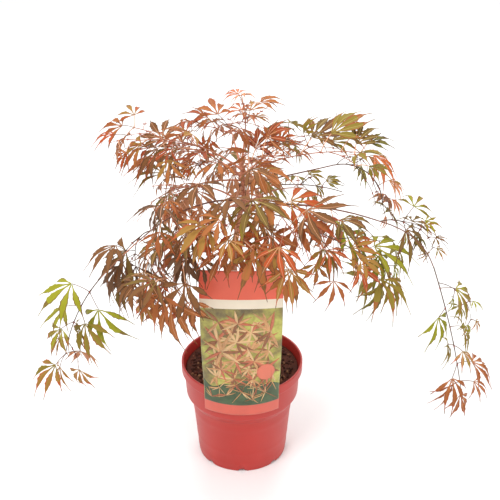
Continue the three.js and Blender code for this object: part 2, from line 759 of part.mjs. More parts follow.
function makeSoil() {
  const level = POT.height - SOIL.rimDrop;
  const sides = potInside().map(([r, z], i) => [r - GAP, z + (i === 0 ? GAP : 0)]);
  const edge = POT.bandRadius - POT.wall - GAP;
  const profile = [
    [0, POT.floor + GAP],
    ...sides,
    [edge, level],
    [SOIL.flatRadius, level + SOIL.mound],
    [0, level + SOIL.mound],
  ];
  return turned(profile, POT.sides);
}

// A point on the label: `across` runs from -1 to 1, `up` from 0 to 1, `depth` out from its back. Each
// level is an arc that wraps the pot at the foot and opens out flat towards the top, and the lower
// edge draws in under the pot's lip.
function cardPoint(across, up, depth) {
  const z = CARD.bottom + (CARD.top - CARD.bottom) * up;
  const lip = POT.height - POT.lipHeight;
  const low = Math.max(0, (lip - z) / (lip - CARD.bottom));
  const open = Math.min(Math.max((z - POT.height) / (CARD.top - POT.height), 0), 1);
  const bend = THREE.MathUtils.lerp(1 / CARD.wrapRadius, 1 / CARD.topRadius, open * (2 - open));
  const arc = (across / 2) * CARD.width * bend;
  return V(Math.sin(arc) / bend, (1 - Math.cos(arc)) / bend - (CARD.stand - CARD.tuck * low + depth), z);
}

function cardPoints(step) {
  const columns = Math.ceil(CARD.width / step);
  const rows = Math.ceil((CARD.top - CARD.bottom) / step);
  const points = [];
  for (let j = 0; j <= rows; j++)
    for (let i = 0; i <= columns; i++) points.push(cardPoint((2 * i) / columns - 1, j / rows, 0));
  return points;
}

function makeCard() {
  const points = [];
  for (const depth of [0, CARD.thickness])
    for (let j = 0; j <= CARD.rows; j++)
      for (let i = 0; i <= CARD.columns; i++)
        points.push(cardPoint((2 * i) / CARD.columns - 1, j / CARD.rows, depth));
  const across = CARD.columns + 1;
  const layer = across * (CARD.rows + 1);
  const faces = [];
  for (let j = 0; j < CARD.rows; j++)
    for (let i = 0; i < CARD.columns; i++) {
      const a = j * across + i;
      const [b, c, d] = [a + 1, a + across + 1, a + across];
      faces.push([a, c, b], [a, d, c]);
      faces.push([a + layer, b + layer, c + layer], [a + layer, c + layer, d + layer]);
    }
  const rim = [];
  for (let i = 0; i < CARD.columns; i++) rim.push(i);
  for (let j = 0; j < CARD.rows; j++) rim.push(j * across + CARD.columns);
  for (let i = CARD.columns; i > 0; i--) rim.push(CARD.rows * across + i);
  for (let j = CARD.rows; j > 0; j--) rim.push(j * across);
  rim.forEach((a, k) => {
    const b = rim[(k + 1) % rim.length];
    faces.push([a, b, b + layer], [a, b + layer, a + layer]);
  });
  return closedMesh(points, faces);
}

// ---------- The plant, limb by limb ----------

const plant = { limbs: { trunk: makeTrunk() }, stems: {} };
for (const [name, bough] of Object.entries(BOUGHS))
  plant.limbs[name] = makeBough(bough, plant.limbs[bough.on]);
for (const [name, mass] of Object.entries(MASSES))
  plant.stems[name] = makeStem(mass, plant.limbs[mass.on]);

const group = new THREE.Group();

function add(name, geometry, material) {
  const mesh = new THREE.Mesh(geometry, material);
  mesh.name = name;
  group.add(mesh);
}

add("pot", makePot(), finish(0xc54a43, 0.45));
add("soil", makeSoil(), finish(0x56301f, 0.95));
add("plant_label", makeCard(), finish(0xdf6e52, 0.4));
for (const [name, limb] of Object.entries(plant.limbs))
  add(name, tube(limb.path, limb.radii, limb.sides, limb.foot), finish(0x7b6150, 0.8));
const foliage = growFoliage(plant);
foliage.forEach((mass, i) => {
  add(mass.own, massGeometry(mass), finish(LEAF_COLOURS[i % LEAF_COLOURS.length], 0.6));
});

export default group;
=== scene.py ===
"""A potted japanese maple: lathe-turned pot, soil, plant label, bark, twigs and leaves.

The plant is grown by the same seeded rule as its solids, in millimetres, and is carried on to
finer twigs and smaller leaves within each foliage mass's own box. Meshes are laid in metres.
"""
import math

import bpy
import numpy as np
from bpy.props import FloatProperty, FloatVectorProperty, IntProperty, PointerProperty
from mathutils import Matrix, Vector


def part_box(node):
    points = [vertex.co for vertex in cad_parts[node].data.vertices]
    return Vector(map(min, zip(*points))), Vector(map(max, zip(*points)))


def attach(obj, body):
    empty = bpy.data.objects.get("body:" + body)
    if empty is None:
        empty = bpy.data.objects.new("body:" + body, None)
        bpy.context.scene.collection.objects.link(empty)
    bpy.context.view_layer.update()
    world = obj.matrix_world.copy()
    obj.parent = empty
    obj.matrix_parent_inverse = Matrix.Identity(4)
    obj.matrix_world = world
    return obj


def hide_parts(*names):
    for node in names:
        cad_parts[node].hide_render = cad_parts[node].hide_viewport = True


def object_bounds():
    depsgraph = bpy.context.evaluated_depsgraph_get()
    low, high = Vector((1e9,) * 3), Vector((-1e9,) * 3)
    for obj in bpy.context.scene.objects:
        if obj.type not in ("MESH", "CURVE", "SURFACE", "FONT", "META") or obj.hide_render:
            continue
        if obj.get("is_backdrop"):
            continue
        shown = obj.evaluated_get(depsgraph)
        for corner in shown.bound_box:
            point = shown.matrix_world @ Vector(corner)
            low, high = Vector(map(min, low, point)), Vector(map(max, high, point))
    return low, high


bl_info = {
    "name": "Potted Japanese Maple",
    "version": (1, 0, 0),
    "blender": (4, 5, 0),
    "location": "View3D > Sidebar > Maple",
    "description": "Builds a young japanese maple in a nursery pot round its packed solids",
    "category": "Object",
}

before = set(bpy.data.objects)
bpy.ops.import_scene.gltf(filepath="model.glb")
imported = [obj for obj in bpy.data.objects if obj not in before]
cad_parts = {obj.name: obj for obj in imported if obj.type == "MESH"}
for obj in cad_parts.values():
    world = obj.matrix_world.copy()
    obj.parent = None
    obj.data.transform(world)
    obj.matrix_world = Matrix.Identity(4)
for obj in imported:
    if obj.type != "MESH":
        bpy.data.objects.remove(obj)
CAD_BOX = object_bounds()
MM = 0.001

# ---------- Sizes of the plant, in millimetres and degrees ----------

GAP = 0.3
POT_HEIGHT = 115.0
RIM_RADIUS = 65.0
LIP_HEIGHT = 11.0
BAND_RADIUS = 62.0
BAND_LOW_RADIUS = 60.5
BAND_DEPTH = 33.0
SHOULDER_RADIUS = 54.0
SHOULDER_DEPTH = 47.0
BASE_RADIUS = 48.0
BASE_ROUND = 5.0
WALL = 1.6
FLOOR = 2.5
DRAINS = 8
DRAIN_RADIUS = 4.0
SOIL_LEVEL = POT_HEIGHT - 9.0
SOIL_MOUND = 2.0
SOIL_TOP = SOIL_LEVEL + SOIL_MOUND

CARD = dict(width=82.0, bottom=86.0, top=258.0, thickness=0.9)
CARD.update(stand=65.6, tuck=3.6, wrap_radius=66.0, top_radius=320.0)

# The trunk's middle line: x, y and z of the points that it bends through.
BENDS = (
    (2, 4, SOIL_TOP + GAP),
    (-3, 4, 165),
    (-8, 1, 225),
    (-4, 0, 272),
    (2, 0, 305),
    (0, 0, 339),
)
TRUNK = dict(radius=4.6, tip_radius=1.5, flare=5.0, flare_height=9.0, taper=1.1, crowding=1.35, rings=12)
BOUGH = dict(tip_radius=0.85, foot_radius=1.05, thickening=0.005, rings=5)
TWIG = dict(radius=0.85, tip_radius=0.6)
SIDE_STEM = dict(swing=58, rise=4)


def limb(on, at, rise, length, droop, turn, heading=None):
    """A bough: its parent, where it springs from it, its rise, length, droop, turn and heading.
    One with no heading of its own carries its parent on."""
    row = dict(on=on, at=at, length=length, droop=droop, turn=turn)
    return row if heading is None else dict(row, heading=heading, rise=rise)


BOUGHS = {
    "leader": limb("trunk", 1, 80, 33, -6, 10, -4),
    "left_top_bough": limb("trunk", 0.98, 40, 33, 10, 4, -173),
    "left_mid_bough": limb("trunk", 0.93, 16, 30, 8, 0, -148),
    "left_arm_bough": limb("trunk", 0.84, 15, 114, 50, 0, -152),
    "left_arm_fall": limb("left_arm_bough", 1, None, 54, 16, -34),
    "left_low_bough": limb("trunk", 0.81, 17, 39, 22, 6, -145),
    "front_left_bough": limb("trunk", 0.83, 10, 38, 24, -4, -128),
    "front_bough": limb("trunk", 0.89, 30, 32, 22, 6, -101),
    "front_right_bough": limb("trunk", 0.87, 25, 38, 24, 8, -65),
    "right_low_bough": limb("trunk", 0.84, 20, 40, 20, 6, -37),
    "right_front_bough": limb("trunk", 0.79, 13, 71, 30, 8, -31),
    "right_arm_bough": limb("trunk", 0.81, 16, 147, 30, 4, -21),
    "right_arm_fall": limb("right_arm_bough", 1, None, 62, 56, 2),
    "right_top_bough": limb("trunk", 0.96, 30, 39, 12, 0, -6),
    "right_tuft_bough": limb("trunk", 0.91, 13, 88, -4, -6, -1),
    "right_mid_bough": limb("trunk", 0.87, 15, 35, 14, -10, 18),
    "back_top_bough": limb("trunk", 0.99, 35, 30, 14, -6, 107),
    "back_left_bough": limb("trunk", 0.94, 22, 39, 14, -6, 139),
    "back_right_bough": limb("trunk", 0.95, 26, 37, 14, 8, 40),
    "back_bough": limb("trunk", 0.88, 22, 35, 20, 6, 80),
    "back_left_low_bough": limb("trunk", 0.82, 14, 46, 22, 8, 132),
    "back_right_low_bough": limb("trunk", 0.80, 16, 47, 22, -8, 47),
}


def spray(length, droop, leaf, hang, tints, **more):
    """A foliage mass: its stem's length and droop, its leaves' size and hang, and its mix of tints.
    Then what isn't usual: where its stem stands and how it turns, its nodes, side shoots, the
    twist of its pairs, its finer shoots, the share of its leaves left out and of its late leaves
    that grow, how its lobes gather, how much its blades have grown, and whether it is outermost."""
    row = dict(length=length, droop=droop, leaf=leaf, hang=hang, tints=tints)
    row.update(at=1, turn=0, nodes=3, shoots=0, twist=0, fine=2, thin=0, late=0.75)
    return dict(row, gather=0.95, grown=1, outer=False) | more


# The leaf colours of each part of the crown: each mix lists its tints, the commoner ones twice.
MIXES = {
    "red": ("brick", "russet", "rust", "copper", "bronze"),
    "dark": ("bronze", "umber", "bronze", "russet"),
    "copper": ("russet", "copper", "bronze", "amber", "russet", "rust", "olive_brown"),
    "coral": ("copper", "salmon", "rust", "orange", "russet"),
    "olive": ("olive", "olive_brown", "moss", "amber", "olive"),
    "lime": ("lime", "olive", "lime", "moss"),
    "blush": ("blush", "salmon", "lime", "blush", "orange"),
    "fire": ("rust", "copper", "bronze", "russet", "rust", "amber"),
    "shade": ("bronze", "olive_brown", "umber", "russet"),
    "left_fall": ("lime", "lime", "olive", "amber", "amber"),
    "right_fall": ("olive", "lime", "olive", "amber", "russet"),
}
# Lone shoots of each mass: where on its stem, heading, rise, length, droop, turn, nodes, leaf size.
STRAYS = {
    "top": ((0.3, 30, 30, 30, 20, 20, 3, 12), (0, 180, 10, 26, 20, 0, 0, 44)),
    "left_top": (
        (0.9, 178, 12, 30, 40, -10, 3, 15),
        (0.2, 140, 40, 14, 0, 0, 1, 36),
        (0.3, 100, 60, 10, 0, 0, 0, 50),
    ),
    "left_arm": ((1, 205, -50, 14, 10, 0, 0, 60), (0.9, 195, 10, 22, 40, 0, 1, 44)),
    "left_arm_tip": ((0.85, 0, -60, 24, 20, 0, 0, 46),),
    "left_low": ((0.6, -60, -20, 20, 30, 0, 1, 46), (0.85, -110, -40, 22, 30, 0, 1, 44)),
    "front_left": ((0.7, 180, -40, 20, 20, 0, 1, 40), (0.75, -60, -50, 30, 30, 0, 0, 58)),
    "right_low": (
        (0.35, -100, 10, 16, 10, 0, 0, 50),
        (0.6, -80, -30, 18, 10, 0, 0, 46),
        (0.75, -120, -50, 18, 20, 0, 1, 34),
    ),
    "right_front": (
        (1, 0, -70, 16, 0, 0, 0, 60),
        (1, -40, -50, 22, 10, 0, 0, 56),
        (0.8, -90, -60, 14, 10, 0, 1, 48),
        (1, -10, -40, 14, 20, 0, 1, 50),
    ),
    "right_arm": ((0.5, -6, -4, 66, 58, 10, 3, 17), (0.9, -30, 6, 34, 70, -20, 3, 14)),
    "right_arm_tip": ((0.12, 14, -16, 58, 66, -34, 3, 15),),
    "right_tuft": (
        (0.04, 4, 58, 44, 150, 0, 3, 0),
        (0.3, -30, -40, 46, 40, 30, 4, 22),
        (0.55, 20, -50, 40, 36, -30, 3, 22),
    ),
    "back_right": ((0.3, -10, 20, 14, 10, 0, 0, 46), (0.5, -60, 40, 18, 10, 0, 0, 50)),
    "inner_left": ((1, 150, 60, 24, 20, 0, 2, 34),),
    "inner_right": (
        (0.9, 10, 40, 22, 10, 0, 0, 50),
        (0.6, -40, 20, 26, 10, 0, 0, 46),
        (1, 10, 5, 28, 10, 0, 2, 32),
    ),
}
# Open places in the crown: the x and the z between which none of the mass's leaves hangs.
OPENINGS = {
    "left_top": ((-115, -85, 392, 420),),
    "left_mid": ((-130, -84, 300, 345),),
    "left_low": ((-110, -95, 290, 300),),
    "front_right": ((50, 110, 250, 290),),
    "right_low": ((90, 110, 250, 270),),
    "right_front": ((80, 105, 230, 260),),
    "right_arm_tip": ((155, 175, 210, 230),),
    "right_top": ((60, 92, 340, 360), (105, 135, 330, 345)),
    "right_tuft": ((160, 180, 305, 330), (105, 130, 280, 318)),
    "back_top": ((-41, -32, 368, 378),),
    "back_right": ((82, 95, 310, 340),),
    "back_left_low": ((-200, -100, 200, 320),),
}
# The mixes that run in their order from a stem's foot to its tip. The others are drawn from.
ORDERED = ("left_fall", "right_fall")

MASSES = {
    "top": spray(
        30, -19, 26, 0.1, "coral", on="leader", turn=-64, nodes=2, shoots=2, late=0.15, gather=0.85
    ),
    "left_top": spray(
        78, 44, 38, 0.35, "red", turn=-16, nodes=4, shoots=2, thin=0.2, late=0.15, gather=0.9,
        grown=1.12,
    ),
    "left_mid": spray(62, 45, 42, 0.5, "dark", turn=-2, shoots=3, late=0.85, grown=1.06),
    "left_arm": spray(
        38, 66, 46, 0.8, "dark", at=0.86, nodes=2, shoots=1, fine=0, late=1, grown=1.25, side=1,
        outer=True,
    ),
    "left_arm_tip": spray(
        92, 26, 38, 0.5, "left_fall", on="left_arm_fall", turn=36, nodes=5, twist=0.9, fine=0, late=1,
        outer=True,
    ),
    "left_low": spray(74, 36, 46, 0.6, "dark", turn=-11, shoots=3, grown=1.1),
    "front_left": spray(78, 56, 54, 0.75, "copper", turn=-8, shoots=2, fine=4, late=1, grown=1.06),
    "front": spray(58, 58, 50, 0.6, "copper", turn=6, shoots=2, fine=5, late=1, grown=1.12),
    "front_right": spray(69, 48, 54, 0.65, "fire", turn=1, shoots=2, fine=3, thin=0.12, late=0.45),
    "right_low": spray(75, 45, 46, 0.55, "copper", turn=1, shoots=2, late=1),
    "right_front": spray(
        82, 9, 50, 0.65, "lime", turn=9, shoots=1, fine=1, late=1, grown=1.2, outer=True
    ),
    "right_arm": spray(52, 34, 38, 0.4, "olive", at=0.93, fine=0, late=1, side=-1, outer=True),
    "right_arm_tip": spray(
        134, 8, 38, 0.5, "right_fall", on="right_arm_fall", turn=24, nodes=6, twist=0.9, fine=1,
        late=1, outer=True,
    ),
    "right_top": spray(
        77, 23, 42, 0.15, "olive", turn=5, nodes=4, shoots=2, fine=1, late=0.25, gather=0.72, grown=1.05
    ),
    "right_tuft": spray(
        72, 108, 40, 0.8, "blush", turn=-18, nodes=4, twist=0.9, fine=3, late=1, gather=0.62, outer=True
    ),
    "right_mid": spray(
        63, 13, 28, 0.3, "olive", turn=-23, shoots=1, fine=0, thin=0.2, late=0.5, gather=0.75,
        outer=True,
    ),
    "back_top": spray(61, 50, 42, 0.4, "red", turn=-3, shoots=2, late=0.25),
    "back_left": spray(78, 46, 44, 0.5, "red", turn=9, shoots=2, late=0.3),
    "back_right": spray(80, 54, 44, 0.5, "olive", turn=-20, shoots=1, fine=1, late=0.2),
    "back": spray(85, 53, 50, 0.65, "shade", turn=-1, shoots=2, late=0.5),
    "back_left_low": spray(90, 35, 52, 0.65, "shade", turn=-10, shoots=1, late=0.8),
    "back_right_low": spray(89, 43, 52, 0.65, "shade", turn=9, shoots=1, thin=0.6, late=0),
    "inner_front": spray(
        34, 30, 38, 0.4, "copper", on="trunk", at=0.92, nodes=2, fine=4, late=1, grown=1.1,
        heading=-82, rise=52,
    ),
    "inner_left": spray(
        34, 30, 38, 0.4, "red", on="trunk", at=0.95, nodes=2, fine=3, late=1, heading=172, rise=36
    ),
    "inner_right": spray(
        34, 30, 36, 0.3, "red", on="trunk", at=0.975, nodes=2, fine=3, late=1, heading=-48, rise=52
    ),
    "inner_back": spray(
        34, 30, 38, 0.4, "shade", on="trunk", at=0.91, nodes=2, late=0.4, heading=100, rise=40
    ),
}
MASSES = {name + "_foliage": {"on": name + "_bough"} | row for name, row in MASSES.items()}

# Pairs of leaves, side shoots, fine shoots, and the room that leaves keep to.
PAIR = dict(size=1.08, fade=0.25, lean=0.35, next_lean=1.25, end_size=0.8)
SHOOT = dict(along=0.7, aside=0.6, aside_more=0.4, up=0.3, droop=25, length=0.45, length_more=0.2)
SHOOT.update(nodes=2, leaf=0.92, twist=0.5, taper=0.12, clear_from=0.4)
FINE = dict(length=0.28, length_more=0.3, leaf=0.8, late_leaf=0.8, radius=0.5, tip=0.7)
FINE.update(clear_from=0.35, first=0.35, drift=0.4, rings=3, nodes=2, twist=0.3)
STRAY = dict(rings=6, radius=0.6, tip_radius=0.3, nodes=3, twist=0.6)
# How a leaf's stalk, rib and face are pulled along the twig, aside, outwards, up and to the light,
# how far each strays, and how much hanging takes off the upward pull or adds to the outward one.
LEAF_STALK = dict(along=0.45, aside=0.9, up=0.25, hang=0.35, stray=0.8, length=0.35, length_more=0.3)
LEAF_RIB = dict(stalk=0.75, out=0.35, up=0.15, hang=1.1, stray=0.7)
LEAF_FACE = dict(up=0.8, hang=0.6, out=0.15, hang_out=0.45, light=0.5, stray=0.5)
LEAF_BLADE = dict(size=0.85, size_more=0.3, curl=0.4, curl_more=1.6)
# How far apart the seeds of neighbouring things lie, and where those of the finer growth start.
SEEDS = dict(mass=4096, twig=64, site=64, tries=64, fine_start=500000, late_start=4096, late=128)
CELL = 2.8
STEP = 2.0
PROBES_ALONG = 14
PROBES_ACROSS = 8
STALK_CLEAR_FROM = 0.45
BORDER = 34.0
TRIES = 24
SHRINK = 0.35
BOX_MARGIN = 6.0
POT_KEEP = dict(radius=70.0, top=122.0)
# A blade: each lobe's angle from the rib in degrees, and its length as a share of the leaf's size.
# Its notches and heel are shares of that size, and a lobe's width and widest place of its length.
LOBES = ((-112, 0.42), (-74, 0.74), (-37, 0.93), (0, 1.0), (37, 0.93), (74, 0.74), (112, 0.42))
NOTCH = 0.15
WIDEST = 0.48
HALF_WIDTH = 0.12
HEEL = 0.09
EDGE_ANGLE = 26
CURL = 0.16
SAG = 0.12
# Leaves smaller than this have five lobes, and the others seven.
SMALL_LEAF = 56.0
STALK_RADIUS = 0.5

UP = np.array([0.0, 0.0, 1.0])
LIGHT = np.array([0.0, -0.64, 0.77])

# ---------- Colours ----------


def tone(red, green, blue):
    """Display parts from 0 to 255 as the linear parts that a shader takes."""
    parts = np.array([red, green, blue]) / 255.0
    lifted = ((parts + 0.055) / 1.055) ** 2.4
    return tuple(float(v) for v in np.where(parts <= 0.04045, parts / 12.92, lifted))


# Each tint: red, green and blue from 0 to 255, and for a blade the tints of its heart and its tip.
TINTS = {
    "brick": (154, 74, 44, "russet", "umber"),
    "russet": (152, 90, 52, "copper", "brick"),
    "bronze": (124, 84, 52, "olive_brown", "umber"),
    "umber": (98, 70, 50, "bronze", "umber"),
    "copper": (168, 104, 60, "amber", "bronze"),
    "salmon": (208, 142, 104, "amber", "copper"),
    "orange": (192, 100, 54, "amber", "brick"),
    "amber": (156, 116, 58, "olive", "rust"),
    "rust": (172, 80, 44, "amber", "bronze"),
    "olive": (134, 116, 48, "lime", "russet"),
    "olive_brown": (122, 98, 52, "bronze", "umber"),
    "moss": (108, 102, 46, "olive", "umber"),
    "lime": (148, 146, 42, "lime", "olive_brown"),
    "blush": (210, 138, 96, "orange", "lime"),
    "under_red": (190, 134, 98),
    "under_green": (148, 136, 72),
    # The rib tints are pale partly as the ribs' own colour and partly as painted highlight.
    "pink_rib_and_highlight": (206, 150, 114),
    "pale_rib_and_highlight": (178, 152, 94),
    "whip": (92, 66, 44),
}
GREENS = ("olive", "moss", "lime", "olive_brown")

# ---------- Vectors and seeded numbers ----------


def blend(*terms):
    """The sum of vectors, each given with its weight."""
    return sum(np.asarray(v, float) * w for v, w in terms)


def unit(v):
    """A vector, or each row of vectors, at length one."""
    v = np.asarray(v, float)
    return v / np.linalg.norm(v, axis=-1, keepdims=True)


def heading(azimuth, rise):
    """The direction at an azimuth from +X and a rise above the ground, in degrees."""
    a = math.radians(azimuth)
    r = math.radians(rise)
    return np.array([math.cos(r) * math.cos(a), math.cos(r) * math.sin(a), math.sin(r)])


def seeded(seed):
    """A stream of numbers from 0 to 1: a counter stirred by multiplying and shifting its bits."""
    mask = 0xFFFFFFFF
    state = seed & mask
    while True:
        state = (state + 0x6D2B79F5) & mask
        t = state
        t = ((t ^ (t >> 15)) * (t | 1)) & mask
        t ^= (t + (((t ^ (t >> 7)) * (t | 61)) & mask)) & mask
        yield ((t ^ (t >> 14)) & mask) / 4294967296.0


def lengths_along(path):
    """The distance from the start to each point of a path."""
    steps = np.linalg.norm(np.diff(path, axis=0), axis=1)
    return np.concatenate([[0.0], np.cumsum(steps)])


def at_share(path, share):
    """Points at shares of a path's whole length, by straight steps between its points."""
    far = lengths_along(path)
    want = np.clip(share, 0, 1) * far[-1]
    return np.stack([np.interp(want, far, path[:, c]) for c in range(3)], axis=-1)


def on_limb(path, radii, share):
    """The place, direction and radius at a share of a limb's length."""
    far = lengths_along(path)
    want = share * far[-1]
    k = int(np.clip(np.searchsorted(far, want, side="left") - 1, 0, len(path) - 2))
    along = unit(path[k + 1] - path[k])
    return at_share(path, share), along, float(np.interp(want, far, radii))


def through(points, share):
    """Points on the smooth line through given points: a Catmull-Rom cubic between each two."""
    points = np.asarray(points, float)
    x = np.clip(share, 0, 1) * (len(points) - 1)
    k = np.minimum(np.floor(x).astype(int), len(points) - 2)
    u = (x - k)[..., None]
    last = len(points) - 1
    p0, p1, p2, p3 = (points[np.clip(k + i, 0, last)] for i in (-1, 0, 1, 2))
    square = (2 * p0 - 5 * p1 + 4 * p2 - p3) * u**2
    cube = (3 * p1 - p0 - 3 * p2 + p3) * u**3
    return 0.5 * (2 * p1 + (p2 - p0) * u + square + cube)


def bent_path(start, row, steps):
    """Equal steps from a start, bending evenly by the row's droop and turn."""
    share = (np.arange(steps) + 0.5) / steps
    ways = [heading(row["heading"] + row["turn"] * s, row["rise"] - row["droop"] * s) for s in share]
    path = [np.asarray(start, float)]
    for way in ways:
        path.append(path[-1] + way * (row["length"] / steps))
    return np.array(path)


# ---------- Limbs ----------


def trunk_ring(share):
    """The trunk's centre and radius at shares of its height: a smooth line, and a stem that
    tapers to its tip with a root flare that dies away exponentially above the soil."""
    centre = through(BENDS, share)
    rise = centre[..., 2] - BENDS[0][2]
    stem = TRUNK["tip_radius"] + (TRUNK["radius"] - TRUNK["tip_radius"]) * (1 - share) ** TRUNK["taper"]
    return centre, stem + TRUNK["flare"] * np.exp(-rise / TRUNK["flare_height"])


def spring_point(parent, share, way, foot):
    """Where a limb of that foot radius starts so that it stands just clear of its parent."""
    point, along, radius = on_limb(parent["path"], parent["radii"], share)
    lean = math.acos(float(np.clip(along @ way, -1, 1)))
    if share == 1:
        return point + along * (GAP + foot * math.sin(lean))
    reach = (radius + GAP + foot * abs(math.cos(lean))) / math.sin(lean)
    return point + way * reach


def direct(row, parent):
    """A limb's own heading and rise, or those of the limb that it carries on from."""
    if "heading" in row:
        return dict(row)
    if "side" not in row:
        on_from = parent["heading"] + parent["turn"]
        return dict(row, heading=on_from, rise=parent["rise"] - parent["droop"])
    swing = row["side"] * SIDE_STEM["swing"]
    return dict(
        row,
        heading=parent["heading"] + parent["turn"] * row["at"] - swing,
        rise=parent["rise"] - parent["droop"] * row["at"] + SIDE_STEM["rise"],
    )


def grow_limbs():
    """The trunk and boughs as paths with radii, each bough sprung from its parent's surface."""
    share = (np.arange(TRUNK["rings"]) / (TRUNK["rings"] - 1)) ** TRUNK["crowding"]
    path, radii = trunk_ring(share)
    limbs = {"trunk": {"path": path, "radii": radii}}
    for name, row in BOUGHS.items():
        parent = limbs[row["on"]]
        bough = direct(row, parent)
        foot = BOUGH["foot_radius"] + row["length"] * BOUGH["thickening"]
        if row["at"] == 1:
            foot = parent["radii"][-1]
        start = spring_point(parent, row["at"], heading(bough["heading"], bough["rise"]), foot)
        path = bent_path(start, bough, BOUGH["rings"] - 1)
        limbs[name] = dict(bough, path=path, radii=np.linspace(foot, BOUGH["tip_radius"], len(path)))
    return limbs


def grow_stems(limbs):
    """The main stem of each foliage mass, from its bough's tip or from a limb's side."""
    stems = {}
    for name, row in MASSES.items():
        parent = limbs[row["on"]]
        stem = direct(row, parent)
        way = heading(stem["heading"], stem["rise"])
        start = spring_point(parent, stem["at"], way, TWIG["radius"])
        path = bent_path(start, stem, 2 * stem["nodes"])
        radii = np.linspace(TWIG["radius"], TWIG["tip_radius"], len(path))
        stems[name] = dict(stem, path=path, radii=radii)
    return stems


# ---------- Room for leaves ----------

NOBODY = 0
SHARED = -1
LIMB_OWNER = 100
CARD_OWNER = 900
LEAF_OWNER = 1000


class Cells:
    """Space as a grid of small cells: a thing takes its cells and keeps others off those beside."""

    shape = (250, 250, 180)
    shift = np.array([125, 125, 6])

    def __init__(self, size):
        self.size = size
        self.taken = np.zeros(math.prod(self.shape), bool)
        self.kept_by = np.zeros(math.prod(self.shape), np.int32)
        span = np.arange(-1, 2)
        i, j, k = np.meshgrid(span, span, span, indexing="ij")
        self.beside = ((i * self.shape[1] + j) * self.shape[2] + k).ravel()

    def keys(self, points):
        cell = np.floor(np.asarray(points) / self.size).astype(int) + self.shift
        return (cell[:, 0] * self.shape[1] + cell[:, 1]) * self.shape[2] + cell[:, 2]

    def take(self, points, owner):
        keys = np.unique(self.keys(points))
        self.taken[keys] = True
        near = np.unique(keys[:, None] + self.beside)
        by = self.kept_by[near]
        self.kept_by[near] = np.where((by == NOBODY) | (by == owner), owner, SHARED)

    def mark(self, points):
        self.taken[self.keys(points)] = True

    def clear(self, points):
        return not self.taken[self.keys(points)].any()

    def free(self, points, owner):
        keys = self.keys(points)
        by = self.kept_by[keys]
        return not self.taken[keys].any() and bool(((by == NOBODY) | (by == owner)).all())


def points_along(path, step, start=0.0):
    """Points along a path, no more than a step apart, from a share of it onwards."""
    path = np.asarray(path, float)
    count = math.ceil(lengths_along(path)[-1] * (1 - start) / step)
    return at_share(path, start + (1 - start) * np.arange(count + 1) / count)


class Space:
    """How near points lie to each mass's stem, from all the stems' straight pieces at once."""

    def __init__(self, stems):
        self.names = list(stems)
        starts = [s["path"][:-1] for s in stems.values()]
        self.start = np.concatenate(starts)
        self.run = np.concatenate([np.diff(s["path"], axis=0) for s in stems.values()])
        self.first = np.cumsum([0] + [len(s) for s in starts])[:-1]

    def holds(self, points, own):
        """True where points keep off the pot and lie about as near their own stem as any other."""
        points = np.asarray(points, float)
        if ((points[:, 2] < POT_KEEP["top"]) & (np.hypot(*points[:, :2].T) < POT_KEEP["radius"])).any():
            return False
        off = points[:, None] - self.start
        share = np.clip((off * self.run).sum(-1) / (self.run**2).sum(-1), 0, 1)
        far = np.linalg.norm(off - share[..., None] * self.run, axis=-1)
        nearest = np.minimum.reduceat(far, self.first, axis=1)
        home = nearest[:, own].copy()
        nearest[:, own] = np.inf
        return bool((nearest.min(axis=1) > home - BORDER).all())


def card_point(across, up, depth):
    """A point on the label: each level is an arc that wraps the pot at the foot and opens out
    towards the top, and the lower edge draws in under the pot's lip."""
    z = CARD["bottom"] + (CARD["top"] - CARD["bottom"]) * up
    lip = POT_HEIGHT - LIP_HEIGHT
    low = np.maximum(0, (lip - z) / (lip - CARD["bottom"]))
    opened = np.clip((z - POT_HEIGHT) / (CARD["top"] - POT_HEIGHT), 0, 1)
    share = opened * (2 - opened)
    bend = (1 - share) / CARD["wrap_radius"] + share / CARD["top_radius"]
    arc = across / 2 * CARD["width"] * bend
    y = (1 - np.cos(arc)) / bend - (CARD["stand"] - CARD["tuck"] * low + depth)
    return np.stack(np.broadcast_arrays(np.sin(arc) / bend, y, z), axis=-1)


# ---------- Leaves ----------


def blade_outline(leaf):
    """A blade's outline: four points a lobe, and the heel's two corners, arched down."""
    lobes = LOBES[1:-1] if leaf["size"] < SMALL_LEAF else LOBES
    angles = np.array([a for a, _ in lobes], float)
    long = leaf["size"] * np.array([s for _, s in lobes])
    before = np.concatenate([[angles[0] - EDGE_ANGLE], (angles[1:] + angles[:-1]) / 2])
    ways = np.stack([before, angles, angles, angles], axis=1).ravel()
    cut = np.full(len(lobes), leaf["size"] * NOTCH)
    reach = np.stack([cut, long * WIDEST, long, long * WIDEST], axis=1).ravel()
    wide = long * HALF_WIDTH
    none = np.zeros(len(lobes))
    aside = np.stack([none, -wide, none, wide], axis=1).ravel()
    ways = np.concatenate([ways, [180, 180]])
    reach = np.concatenate([reach, [leaf["size"] * HEEL] * 2])
    aside = np.concatenate([aside, [-STALK_RADIUS, STALK_RADIUS]])
    return lay(leaf, ways, reach, aside, 0.0)


def lay(leaf, ways, reach, aside, lift):
    """Points of a blade: out along a way from the hub, aside of it, and lifted off the face. The
    blade bows down by its curl and sag times the square of the reach."""
    a = np.radians(ways)[..., None]
    across = np.cross(leaf["rib"], leaf["face"])
    out = leaf["rib"] * np.cos(a) + across * np.sin(a)
    beside = -leaf["rib"] * np.sin(a) + across * np.cos(a)
    bow = ((reach / leaf["size"]) ** 2 * leaf["size"])[..., None]
    up = np.asarray(lift)[..., None] - CURL * leaf["curl"] * bow
    sunk = UP * (-SAG * bow)
    return leaf["hub"] + out * reach[..., None] + beside * aside[..., None] + leaf["face"] * up + sunk


